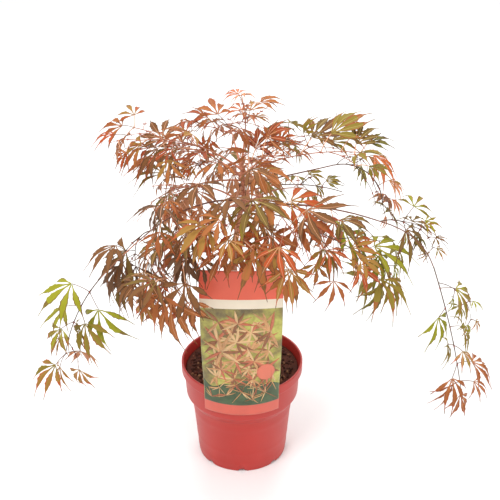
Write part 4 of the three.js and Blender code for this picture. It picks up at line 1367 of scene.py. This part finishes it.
def printed_leaf(x, y, angle, length, width, bow):
    """A pointed oval as a strip of two columns: half its width is a sine of the share along it,
    and its middle line bows aside by a square of that share."""
    t = np.linspace(0, 1, 9)
    half = np.maximum(width / 2 * np.sin(np.pi * t**0.8) ** 0.9, 0.12)
    aside = np.stack([half, -half], axis=-1) + (bow * t**2)[:, None]
    along = np.stack([t * length, t * length], axis=-1)
    a = math.radians(angle)
    return x + along * math.cos(a) - aside * math.sin(a), y + along * math.sin(a) + aside * math.cos(a)


class MAPLE_OT_label(bpy.types.Operator):
    """Print the plant label: plain bands, a blotted picture with sprigs, and a disc"""

    bl_idname = "maple.label"
    bl_label = "Plant Label"

    def execute(self, context):
        look = context.scene.maple_label
        tall = CARD["top"] - CARD["bottom"]
        foot, strip, header = BANDS.values()
        up = np.unique(np.concatenate([np.linspace(0, 1, PRINT["rows"]), [foot, strip, header]]))
        across = np.linspace(-1, 1, PRINT["columns"])
        points, front, back, edge = card_shell(*np.meshgrid(across, up), CARD["thickness"], 0.0)
        row = np.repeat((up[1:] + up[:-1]) / 2, len(across) - 1)
        band = np.select([row < foot, row < strip, row < header], [1, 2, 3], 4)
        sheet = Sheet()
        sheet.add(points, (front, band, True), (back, 0, True), (edge, 0, False))
        white = mottled("label_back", tone(226, 222, 214), 0.4, 60.0, 0.03, 0.0)
        low = mottled("label_foot", tone(206, 92, 74), 0.35, 70.0, 0.05, 0.00003)
        paper = mottled("label_strip", look.strip, 0.35, 70.0, 0.04, 0.00003)
        top = mottled("label_header", look.header, 0.35, 40.0, 0.06, 0.00003)
        picture, tree, shader = surface("label_picture", tone(140, 140, 80), 0.32, coat_weight=0.3)
        vector = coordinates(tree)
        value = noise(tree, vector, 1.0 / look.print_scale, 4.0, 0.6)
        stops = [(at, tone(*colour)) for at, colour in PICTURE]
        tree.links.new(ramp(tree, value, stops), shader.inputs["Base Color"])
        made = sheet.piece("plant_card", [white, low, picture, paper, top])
        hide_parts("plant_label")
        art = Sheet()
        shapes = self.draw_picture(foot * tall, strip * tall)
        for number, (x, y, tint) in enumerate(shapes):
            points, front, back, edge = printed_shape(x, y, PRINT["lift"] + PRINT["step"] * number)
            art.add(points, (front, tint, True), (back, tint, True), (edge, tint, False))
        inks = [mottled(n, tone(*c), PRINT["rough"], grain, odd, 0.0) for n, c, grain, odd in INKS]
        printed = art.piece("card_print", inks)
        return {"FINISHED"}

    def draw_picture(self, low, high):
        """The print: a low dark field whose top is a sum of two sines, slanting stems, stars of
        narrow leaves, pale threads and a plain disc, all inside the picture's field."""
        edge = CARD["width"] / 2 - PRINT["margin"]
        shapes = []
        share = np.linspace(0, 1, 26)[:, None]
        x = np.linspace(-edge, edge, 60)[None] * np.ones((26, 1))
        ridge = 27 + 5 * np.sin(x / 10.0 + 1) + 2.4 * np.sin(x / 4.1)
        shapes.append((x, low + 0.1 + ridge * share, 0))
        rng = np.random.default_rng(8)
        marks = []
        for foot_x, foot_y, lean, length in SLANTS:
            marks.append((foot_x, low + foot_y, lean, length, 2.6, 4))
        leaves = STARS["leaves"]
        for star in range(STARS["count"]):
            sx = -STARS["reach"] + 2 * STARS["reach"] * ((star * 0.755 + 0.1) % 1)
            sy = low + STARS["foot"] + STARS["rise"] * ((star * 0.57 + 0.05) % 1)
            size = rng.uniform(STARS["least"], STARS["most"])
            turn = rng.uniform(0, 360)
            tints = rng.choice([1, 2, 2, 3, 4], size=leaves)
            for k in range(leaves):
                angle = turn + k * STARS["apart"] + rng.uniform(-8, 8)
                long = size * rng.uniform(0.7, 1.1)
                marks.append((sx, sy, angle, long, size * STARS["width"], int(tints[k])))
        for tuft in range(TUFTS["count"]):
            sx = TUFTS["start"] + TUFTS["apart"] * tuft + rng.uniform(-3, 3)
            sy = low + TUFTS["foot"] + TUFTS["rise"] * ((tuft * 0.618) % 1)
            for _ in range(TUFTS["threads"]):
                angle = rng.uniform(0, 360)
                width = rng.uniform(0.5, 1.1)
                long = rng.uniform(TUFTS["least"], TUFTS["most"])
                marks.append((sx, sy, angle, long, width, int(rng.choice([1, 2, 3, 4]))))
        for mark in marks:
            x, y = printed_leaf(*mark[:5], bow=rng.uniform(-2, 2))
            if np.abs(x).max() < edge and y.max() < high - 0.6 and y.min() > low + 0.4:
                shapes.append((x, y, mark[5]))
        y = np.linspace(-1, 1, 22)[:, None] * DISC["radius"]
        wide = np.sqrt(np.maximum(DISC["radius"] ** 2 - y**2, 0.02))
        shapes.append((DISC["x"] + wide * np.linspace(-1, 1, 9), low + DISC["y"] + y * np.ones(9), 5))
        return shapes


# Rings, sides, roots, joints and collars of the wood, and how deep a bough is sunk in its parent.
BARK_SEED = 40
TRUNK_BARK = dict(rings=190, crowding=1.1, sides=40, roots=0.2, root_height=6.0, joint=0.05)
BOUGH_BARK = dict(step=1.6, rings=24, sides=14, joint=0.16, collar=0.45, collar_length=4.0)
SUNK_END = 0.6
SUNK_SIDE = 0.7
# Boughs are a little slimmer than their solids, and long ones, which wear young bark, slimmer yet.
SLIM = 0.85
LONG_SLIM = 0.62
LONG = 60
# The heights in metres between which the trunk's bark turns paler, and its colours over a noise.
PALE_FROM = 0.19
PALE_TO = 0.28
PALE = tone(184, 122, 94)
LICHEN = tone(168, 142, 118)


def joints(height, spacing, width):
    """Swellings at an even spacing: each is a bell curve of the distance from its middle."""
    return np.exp(-((height % spacing - spacing / 2) / width) ** 2)


class MAPLE_OT_bark(bpy.types.Operator):
    """Carve the trunk and boughs with their bark"""

    bl_idname = "maple.bark"
    bl_label = "Trunk and Boughs"

    def execute(self, context):
        look = context.scene.maple_bark
        limbs = grow_limbs()
        sheet = Sheet()
        self.carve_trunk(sheet, look.relief)
        for seed, (name, row) in enumerate(limbs.items(), BARK_SEED):
            if name != "trunk":
                self.carve_bough(sheet, row, limbs[row["on"]], seed, look.relief)
        bark = self.bark_paint(look.colour)
        young = mottled("young_bark", shaded(look.twig, 0.42), 0.6, 240.0, 0.25, 0.0003, detail=5.0)
        made = sheet.piece("bark_limbs", [bark, young])
        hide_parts(*limbs)
        return {"FINISHED"}

    def carve_trunk(self, sheet, relief):
        """The trunk: rings crowded at the foot, whose radius carries ridges, five root swellings
        that die away upwards, and joints."""
        share = np.linspace(0, 1, TRUNK_BARK["rings"]) ** TRUNK_BARK["crowding"]
        path, radii = trunk_ring(share)
        a = round_turn(TRUNK_BARK["sides"])
        height = path[:, 2:3]
        ridges = ripple(a[None], height / 16.0, 31, waves=24, coarse=2.0, fine=9.0)
        roots = np.cos(5 * a + 0.6)[None] * np.exp(-(height - SOIL_TOP) / TRUNK_BARK["root_height"])
        swell = TRUNK_BARK["joint"] * joints(height + 6, 27.0, 1.6)
        round_it = radii[:, None] * (1 + relief * ridges + TRUNK_BARK["roots"] * roots + swell)
        sheet.bar(path, round_it, TRUNK_BARK["sides"], 0)

    def carve_bough(self, sheet, row, parent, seed, relief):
        """A bough: a smooth line sunk in its parent, with a collar there that dies away, ridges
        and joints."""
        carries_on = row["at"] == 1
        count = max(BOUGH_BARK["rings"], int(row["length"] / BOUGH_BARK["step"]))
        line = through(row["path"], np.linspace(0, 1, count))
        lead = unit(row["path"][1] - row["path"][0])
        back = SUNK_END if carries_on else float(parent["radii"].max()) * SUNK_SIDE
        line = np.vstack([row["path"][0] - lead * back, line])
        far = lengths_along(line)
        slim = LONG_SLIM if row["length"] > LONG or row["on"] != "trunk" else SLIM
        thick = np.interp(far - back, [0, row["length"]], [row["radii"][0], row["radii"][-1]]) * slim
        collar = 0 if carries_on else BOUGH_BARK["collar"] * np.exp(-far / BOUGH_BARK["collar_length"])
        a = round_turn(BOUGH_BARK["sides"])
        ridges = ripple(a[None], far[:, None] / 6.0, seed, waves=14, coarse=1.5, fine=5.0)
        swell = BOUGH_BARK["joint"] * joints(far + 4, 21.0, 1.0)
        round_it = (thick * (1 + collar + swell))[:, None] * (1 + relief * ridges)
        sheet.bar(line, round_it, BOUGH_BARK["sides"], 0 if row["length"] < LONG else 1)

    def bark_paint(self, colour):
        """The bark: colours over a noise drawn out upwards, mixed by height into paler ones."""
        bark, tree, shader = surface("bark", colour, 0.78)
        vector = coordinates(tree, (1.0, 1.0, 0.32))
        value = noise(tree, vector, 210.0, 6.0, 0.6)
        stops = [(0.3, shaded(colour, 0.55)), (0.48, colour), (0.62, shaded(colour, 1.35)), (0.75, LICHEN)]
        rise = tree.nodes.new("ShaderNodeSeparateXYZ")
        tree.links.new(coordinates(tree), rise.inputs[0])
        share = tree.nodes.new("ShaderNodeMapRange")
        share.inputs["From Min"].default_value = PALE_FROM
        share.inputs["From Max"].default_value = PALE_TO
        tree.links.new(rise.outputs["Z"], share.inputs["Value"])
        tinted = tree.nodes.new("ShaderNodeMix")
        tinted.data_type = "RGBA"
        tree.links.new(share.outputs["Result"], tinted.inputs["Factor"])
        tree.links.new(ramp(tree, value, stops), tinted.inputs["A"])
        pale = [(at, shaded(PALE, depth)) for at, depth in ((0.3, 0.7), (0.5, 1.0), (0.7, 1.2))]
        tree.links.new(ramp(tree, value, pale), tinted.inputs["B"])
        tree.links.new(tinted.outputs["Result"], shader.inputs["Base Color"])
        bump(tree, shader, noise(tree, vector, 520.0, 5.0), 0.0005)
        return bark


def in_opening(mass, point):
    """True where a leaf's middle falls in one of its mass's open places."""
    rows = OPENINGS.get(mass.removesuffix("_foliage"), ())
    return any(x0 < point[0] < x1 and z0 < point[2] < z1 for x0, x1, z0, z1 in rows)


# A lobe: how far out it starts and its whip does, its least half widths, its teeth and its rib.
LOBE = dict(start=0.02, blade=0.9, fall=2.1, neck=0.018, whip=0.34, tip=0.16, tip_from=0.97)
LOBE.update(teeth_from=0.12, teeth_over=0.2, ahead=0.22, rib_taper=0.75, rib_most=0.35, flank=0.74)
# The ranges that are drawn for each leaf or lobe.
SPREAD = dict(gather=(0.85, 1.12), length=(0.94, 1.0), breadth=(0.85, 1.2), swing=0.25)
SPREAD.update(limp=(0.1, 0.8), droop=(0.0, 0.3), wave=0.018, waves=1.7, fold=(0.6, 1.7))


def lobe_shells(leaf, look, rng):
    """A leaf's lobes, each a closed thin strip along its rib, above and below. Half its width is a
    product of powers of the share along it and of what is left, never past the line halfway to
    the next lobe, drawn out into a thin whip at the tip; every other station stands out as a tooth."""
    small = leaf["size"] < SMALL_LEAF
    lobes = np.array(LOBES[1:-1] if small else LOBES, float)
    count = len(lobes)
    stations = 15 if leaf["size"] > 30 else 11
    t = np.linspace(LOBE["start"], 1, stations + 1)
    angles = lobes[:, 0] * leaf["gather"] * rng.uniform(*SPREAD["gather"])
    long = leaf["size"] * lobes[:, 1][:, None] * rng.uniform(*SPREAD["length"], (count, 1))
    gaps = np.diff(angles) / 2
    before = np.radians(np.concatenate([[EDGE_ANGLE], gaps]))[:, None]
    after = np.radians(np.concatenate([gaps, [EDGE_ANGLE]]))[:, None]
    reach = long * t
    blade = np.clip(t / LOBE["blade"], 0, 1)
    rise, fall = look.neck, LOBE["fall"]
    top = rise / (rise + fall)
    broad = look.lobe_width * rng.uniform(*SPREAD["breadth"])
    profile = broad * (blade / top) ** rise * ((1 - blade) / (1 - top)) ** fall
    odd = np.arange(stations + 1) % 2
    teeth = 1 + look.teeth * (odd * 2 - 1) * np.clip((t - LOBE["teeth_from"]) / LOBE["teeth_over"], 0, 1)
    half = long * np.maximum(profile * teeth, np.where(t < 0.5, LOBE["neck"], 0.0))
    half = np.maximum(half, np.where(t > LOBE["tip_from"], LOBE["tip"], LOBE["whip"]))
    left = np.minimum(half, reach * np.tan(before))
    right = np.minimum(half, reach * np.tan(after))
    narrow = np.minimum(left, right)
    rib = np.minimum(look.rib_width / MM * (1 - LOBE["rib_taper"] * t), LOBE["rib_most"] * narrow)
    flank = LOBE["flank"]
    wide = np.stack([-left, -flank * left, -rib, rib, flank * right, right], axis=-1)
    # Teeth point forwards, and each lobe swings and droops beyond its foot by drawn amounts.
    ahead = (odd * LOBE["ahead"] * narrow)[..., None] * np.array([1, 0.3, 0, 0, 0.3, 1])
    swing = rng.normal(0, SPREAD["swing"], (count, 1)) * np.clip(t - 0.3, 0, 1) ** 2 * long
    outer = np.abs(np.sin(np.radians(angles)))[:, None]
    limp = rng.uniform(*SPREAD["limp"], (count, 1)) * np.clip(t - 0.4, 0, 1) ** 2
    droop = (limp + rng.uniform(*SPREAD["droop"]) * outer * t) * long
    phase = 2 * np.pi * (rng.uniform(0, 1, (count, 1)) + SPREAD["waves"] * t)
    wave = SPREAD["wave"] * long * np.sin(phase) * t
    fold = look.fold * rng.uniform(*SPREAD["fold"])
    lift = fold * np.abs(wide) * (1 - 0.2 * np.abs(wide) / np.abs(wide).max(axis=-1, keepdims=True))
    lift = lift + (wave - droop)[..., None]
    ways = np.broadcast_to(angles[:, None, None], wide.shape)
    out = np.minimum(reach[..., None] + ahead, long[..., None])
    aside = wide + swing[..., None]
    thick = look.thickness / MM / 2
    upper = lay(leaf, ways, out, aside, lift + thick)
    pick = [0, 2, 5]
    low = lay(leaf, ways, out, aside, lift - thick)
    lower = low[:, :, pick]
    lower[:, :, 1] = (low[:, :, 2] + low[:, :, 3]) / 2
    return upper, lower, t


def lobe_faces(stations):
    """The faces of one lobe's shell: six columns of points above and three below. Returns the
    faces above, those below, the edges between, and the two end faces."""
    rows = stations + 1
    above = weave(rows, 6)
    flip = rows * 6
    below = weave(rows, 3)[:, ::-1] + flip
    k = np.arange(rows - 1)
    left = np.stack([k * 6, (k + 1) * 6, flip + (k + 1) * 3, flip + k * 3], axis=-1)
    right = np.stack([k * 6 + 5, flip + k * 3 + 2, flip + (k + 1) * 3 + 2, (k + 1) * 6 + 5], axis=-1)
    foot = np.array([[5, 4, 3, 2, 1, 0, flip, flip + 1, flip + 2]])
    end = (rows - 1) * 6
    low = flip + (rows - 1) * 3
    tip = np.array([[end, end + 1, end + 2, end + 3, end + 4, end + 5, low + 2, low + 1, low]])
    return above, below, np.vstack([left, right]), np.vstack([foot, tip])


# Twigs, buds and stalks: their points, sides, radii, swellings and how they leave the wood.
TWIG_BAR = dict(points=22, sunk=1.6, slim=0.72, swell=0.4, swell_width=1.3, end=0.6, sides=7)
BUD = dict(lean=0.75, off=0.4, length=2.4, radius=0.12, swell=0.55, sides=6)
STALK = dict(arch=0.07, radius=0.44, outer_radius=0.36, flare=0.24, flare_length=1.5, sides=6)
# The middles at which a mass counts as left, right or front, in millimetres.
LEFT_OF = -45
RIGHT_OF = 60
FRONT_OF = 5
# How often a blade has a tinted heart, rib, body and edges, and where its vein and whip change.
PAINT = dict(heart=0.6, rib=0.32, body=0.25, edge=0.65, vein=0.8, whip=0.91)
PAINT.update(start=(0.1, 0.45), end=(0.66, 0.9), edge_from=(0.2, 1.6))


class MAPLE_OT_foliage(bpy.types.Operator):
    """Grow the twigs, buds, stalks and leaves of every foliage mass"""

    bl_idname = "maple.foliage"
    bl_label = "Twigs and Leaves"

    def execute(self, context):
        look = context.scene.maple_foliage
        bark = context.scene.maple_bark
        crown = Crown(grow_limbs(), look.fullness)
        names = list(TINTS)
        paints = []
        for name in names:
            made, _, _ = surface("leaf_" + name, tone(*TINTS[name][:3]), 0.5, specular_ior_level=0.08)
            paints.append(made)
        twigs = Sheet()
        stalks = Sheet()
        groups = {}
        for mass in crown.masses:
            row = MASSES[mass["name"]]
            self.grow_wood(mass, twigs)
            x, y = np.mean([leaf["hub"][:2] for leaf in mass["leaves"]], axis=0)
            side = "front" if y < FRONT_OF else "back"
            where = "left" if x < LEFT_OF else "right" if x > RIGHT_OF else side
            sheet, owners = groups.setdefault(where, (Sheet(), []))
            owners.append(mass["name"])
            stem = mass["twigs"][0]["path"]
            for leaf in mass["leaves"]:
                rng = np.random.default_rng(leaf["seed"])
                leaf["gather"] = row["gather"]
                if rng.uniform() < row["thin"]:
                    continue
                if in_opening(mass["name"], leaf["hub"] + leaf["rib"] * (leaf["size"] / 2)):
                    continue
                leaf["size"] *= row["grown"]
                leaf["along"] = np.linalg.norm(leaf["node"] - stem[0]) / lengths_along(stem)[-1]
                self.grow_leaf(leaf, row["tints"], names, look, rng, sheet)
                # Stalks of the inner masses mostly take the pale stalk colour, partly their own pink and
                # partly painted highlight; outer masses and a few others take the brown.
                self.grow_stalk(leaf, stalks, int(row["outer"] or rng.uniform() < 0.3))
        for where, (sheet, owners) in groups.items():
            made = sheet.piece("leaves_" + where, paints)
            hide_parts(*owners)
        # The pale young wood of the inner twigs is partly its own colour and partly painted highlight.
        wood = mottled("young_wood_and_highlight", bark.twig, 0.55, 300.0, 0.22, 0.0002)
        bud = mottled("bud_scale", tone(150, 66, 48), 0.5, 600.0, 0.2, 0.0001)
        # The pale stalk colour is partly the stalks' own pink and partly painted highlight.
        stem = mottled("leaf_stalk", tone(222, 164, 126), 0.45, 300.0, 0.15, 0.0)
        brown = mottled("brown_stalk", tone(112, 76, 56), 0.5, 300.0, 0.2, 0.0)
        dark = mottled("dark_wood", tone(92, 68, 54), 0.6, 300.0, 0.25, 0.0002)
        made = twigs.piece("twigs", [wood, bud, dark])
        made = stalks.piece("leaf_stalks", [stem, brown])
        return {"FINISHED"}

    def grow_wood(self, mass, sheet):
        """A mass's twigs: smooth bars that swell at their nodes, with a pair of buds at each."""
        # Twigs of the outer masses take the dark wood, and the inner ones the pale young wood, which is
        # partly painted highlight.
        slot = 2 if MASSES[mass["name"]]["outer"] else 0
        for number, twig in enumerate(mass["twigs"]):
            line = through(twig["path"], np.linspace(0, 1, TWIG_BAR["points"]))
            if number == 0:
                lead = unit(line[1] - line[0])
                line = np.vstack([line[0] - lead * TWIG_BAR["sunk"], line])
            far = lengths_along(line)
            share = np.linspace(0, 1, len(twig["radii"]))
            radii = TWIG_BAR["slim"] * np.interp(far / far[-1], share, twig["radii"])
            spots = far[-1] * np.arange(1, twig["nodes"] + 1) / twig["nodes"]
            swell = np.exp(-(((far[:, None] - spots) / TWIG_BAR["swell_width"]) ** 2)).sum(1)
            radii = radii * (1 + TWIG_BAR["swell"] * swell)
            radii[-1] *= TWIG_BAR["end"]
            sheet.bar(line, radii, TWIG_BAR["sides"], slot)
            for spot in spots[:-1]:
                self.grow_buds(line, far, spot, sheet)

    def grow_buds(self, line, far, spot, sheet):
        """A pair of buds at a node: each a short spindle, its radius a sine of the share along."""
        here, ahead = (np.array([np.interp(at, far, c) for c in line.T]) for at in (spot, spot + 1))
        along = unit(ahead - here)
        level = unit(np.cross(UP, along))
        t = np.linspace(0, 1, 6)
        for side in (-1, 1):
            way = unit(along * BUD["lean"] + level * side)
            path = here + way * (BUD["off"] + t[:, None] * BUD["length"])
            sheet.bar(path, BUD["radius"] + BUD["swell"] * np.sin(np.pi * t**0.7), BUD["sides"], 1)

    def grow_stalk(self, leaf, sheet, slot):
        """A leaf stalk: a bar from node to hub that arches a little, thicker at its foot."""
        t = np.linspace(0, 1, 8)
        run = leaf["hub"] - leaf["node"]
        length = np.linalg.norm(run)
        arch = STALK["arch"] * length * np.sin(np.pi * t)[:, None] * unit(leaf["face"] + UP)
        line = leaf["node"] + run * t[:, None] + arch
        thin = STALK["outer_radius"] if slot else STALK["radius"]
        radii = thin + STALK["flare"] * np.exp(-t * length / STALK["flare_length"])
        sheet.bar(line, radii, STALK["sides"], slot)

    def grow_leaf(self, leaf, tints, names, look, rng, sheet):
        """A leaf: its lobes' shells, with tints for the foot, blade, tip, ribs and underside."""
        upper, lower, t = lobe_shells(leaf, look, rng)
        mix = MIXES[tints]
        if tints in ORDERED:
            spot = leaf["along"] * len(mix) + rng.uniform(-0.7, 0.7)
            main = mix[int(np.clip(spot, 0, len(mix) - 1))]
        else:
            main = mix[int(rng.integers(len(mix)))]
        green = main in GREENS
        inner = TINTS[main][3] if rng.uniform() < PAINT["heart"] else main
        tip = TINTS[main][4]
        under = "under_green" if green else "under_red"
        # A share of the blades take a pale rib tint, partly the rib's own colour and partly painted
        # highlight.
        rib = ("pale_rib_and_highlight" if green else "pink_rib_and_highlight") if rng.uniform() < PAINT["rib"] else inner
        count, rows = upper.shape[:2]
        above, below, edge, ends = lobe_faces(rows - 1)
        middle = np.broadcast_to((t[1:] + t[:-1]) / 2, (count, rows - 1))
        start = rng.uniform(*PAINT["start"], (count, 1))
        end = rng.uniform(*PAINT["end"], (count, 1))
        main_at, inner_at, tip_at = (names.index(n) for n in (main, inner, tip))
        body = np.where(rng.uniform(size=(count, 1)) < PAINT["body"], inner_at, main_at)
        heart = np.select([middle < start, middle > end], [inner_at, tip_at], body)
        edges = []
        for _ in range(2):
            dark = middle > start * rng.uniform(*PAINT["edge_from"], (count, 1))
            dark = dark & (rng.uniform(size=(count, 1)) < PAINT["edge"])
            edges.append(np.where(dark, tip_at, heart))
        whip = names.index("whip")
        in_whip = middle > PAINT["whip"]
        heart = np.where(in_whip, whip, heart)
        left, right = (np.where(in_whip, whip, edge_at) for edge_at in edges)
        vein = np.where(middle < PAINT["vein"], names.index(rib), heart)
        above_slot = np.stack([left, heart, vein, heart, right], axis=-1).ravel()
        below_slot = np.repeat(np.where(in_whip, whip, names.index(under)), 2, axis=-1).ravel()
        size = rows * 9
        shift = (np.arange(count) * size)[:, None, None]
        points = np.concatenate([upper.reshape(count, -1, 3), lower.reshape(count, -1, 3)], axis=1)
        sheet.add(
            points,
            ((above + shift).reshape(-1, 4), above_slot, True),
            ((below + shift).reshape(-1, 4), below_slot, True),
            ((edge + shift).reshape(-1, 4), main_at, False),
            ((ends + shift).reshape(-1, 9), main_at, False),
        )


# Lights: name, place in metres, width in metres, and power as a share of the key light's.
LAMPS = (
    ("key_light", (-0.7, -1.0, 2.0), 0.9, 1.0),
    ("fill_light", (1.6, -1.2, 1.0), 1.2, 0.35),
    ("back_light", (0.1, 1.4, 2.0), 1.6, 1.1),
)
LIT_SPOT = (0.0, 0.0, 0.22)
FLOOR_REACH = 6.0
SKY = dict(colour=(1.0, 0.99, 0.98, 1.0), strength=0.7)
CAMERA = dict(place=(0.0086, -0.9, 0.716), target=(0.0086, 0.0, 0.246), sensor=36.0, far=50.0)


class MAPLE_OT_stage(bpy.types.Operator):
    """Set the floor, the soft lights and the camera"""

    bl_idname = "maple.stage"
    bl_label = "Stage"

    def execute(self, context):
        look = context.scene.maple_stage
        scene = context.scene
        scene.view_settings.view_transform = "Standard"
        mesh = bpy.data.meshes.new("floor")
        r = FLOOR_REACH
        corners = [(-r, -r, 0), (r, -r, 0), (r, r, 0), (-r, r, 0)]
        mesh.from_pydata(corners, [], [(0, 1, 2, 3)])
        floor = bpy.data.objects.new("floor", mesh)
        scene.collection.objects.link(floor)
        made, _, _ = surface("floor_paper", look.floor, 0.8, specular_ior_level=0.1)
        mesh.materials.append(made)
        floor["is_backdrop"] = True
        world = bpy.data.worlds.new("studio")
        scene.world = world
        world.use_nodes = True
        sky = world.node_tree.nodes["Background"]
        sky.inputs["Color"].default_value = SKY["colour"]
        sky.inputs["Strength"].default_value = SKY["strength"]
        for name, place, size, share in LAMPS:
            data = bpy.data.lights.new(name, "AREA")
            data.size = size
            data.energy = look.key * share
            lamp = bpy.data.objects.new(name, data)
            scene.collection.objects.link(lamp)
            self.aim(lamp, place, LIT_SPOT)
        data = bpy.data.cameras.new("camera")
        data.lens = look.lens
        data.sensor_width = CAMERA["sensor"]
        data.clip_end = CAMERA["far"]
        camera = bpy.data.objects.new("camera", data)
        scene.collection.objects.link(camera)
        self.aim(camera, CAMERA["place"], CAMERA["target"])
        scene.camera = camera
        return {"FINISHED"}

    def aim(self, thing, place, target):
        """Puts a light or the camera at a place and turns its -Z at a target, +Y upwards."""
        back = unit(np.subtract(place, target))
        right = unit(np.cross(UP, back))
        up = np.cross(back, right)
        matrix = np.eye(4)
        matrix[:3, :3] = np.stack([right, up, back], axis=1)
        matrix[:3, 3] = place
        thing.matrix_world = Matrix(matrix.tolist())


class MAPLE_PT_panel(bpy.types.Panel):
    """Lists the pieces and their settings"""

    bl_idname = "MAPLE_PT_panel"
    bl_label = "Potted Japanese Maple"
    bl_space_type = "VIEW_3D"
    bl_region_type = "UI"
    bl_category = "Maple"

    def draw(self, context):
        for name, group in GROUPS.items():
            box = self.layout.box()
            box.operator(name.replace("_", "."))
            for field in group.__annotations__:
                box.prop(getattr(context.scene, name), field)


GROUPS = {
    "maple_pot": MaplePotSettings,
    "maple_soil": MapleSoilSettings,
    "maple_label": MapleLabelSettings,
    "maple_bark": MapleBarkSettings,
    "maple_foliage": MapleFoliageSettings,
    "maple_stage": MapleStageSettings,
}
CLASSES = (
    *GROUPS.values(),
    MAPLE_OT_pot,
    MAPLE_OT_soil,
    MAPLE_OT_label,
    MAPLE_OT_bark,
    MAPLE_OT_foliage,
    MAPLE_OT_stage,
    MAPLE_PT_panel,
)


def register():
    """Registers the classes and hangs the settings on the scene."""
    for each in CLASSES:
        bpy.utils.register_class(each)
    for name, group in GROUPS.items():
        setattr(bpy.types.Scene, name, PointerProperty(type=group))


def unregister():
    """Takes the settings off the scene and removes the classes."""
    for name in GROUPS:
        delattr(bpy.types.Scene, name)
    for each in reversed(CLASSES):
        bpy.utils.unregister_class(each)


def main():
    """Registers the add-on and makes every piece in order."""
    register()
    bpy.ops.maple.stage()
    bpy.ops.maple.pot()
    bpy.ops.maple.soil()
    bpy.ops.maple.label()
    bpy.ops.maple.bark()
    bpy.ops.maple.foliage()
    boxes = {"cad": CAD_BOX, "visual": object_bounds()}
    plain = {key: [[float(v) for v in corner] for corner in box] for key, box in boxes.items()}


if __name__ == "__main__":
    main()
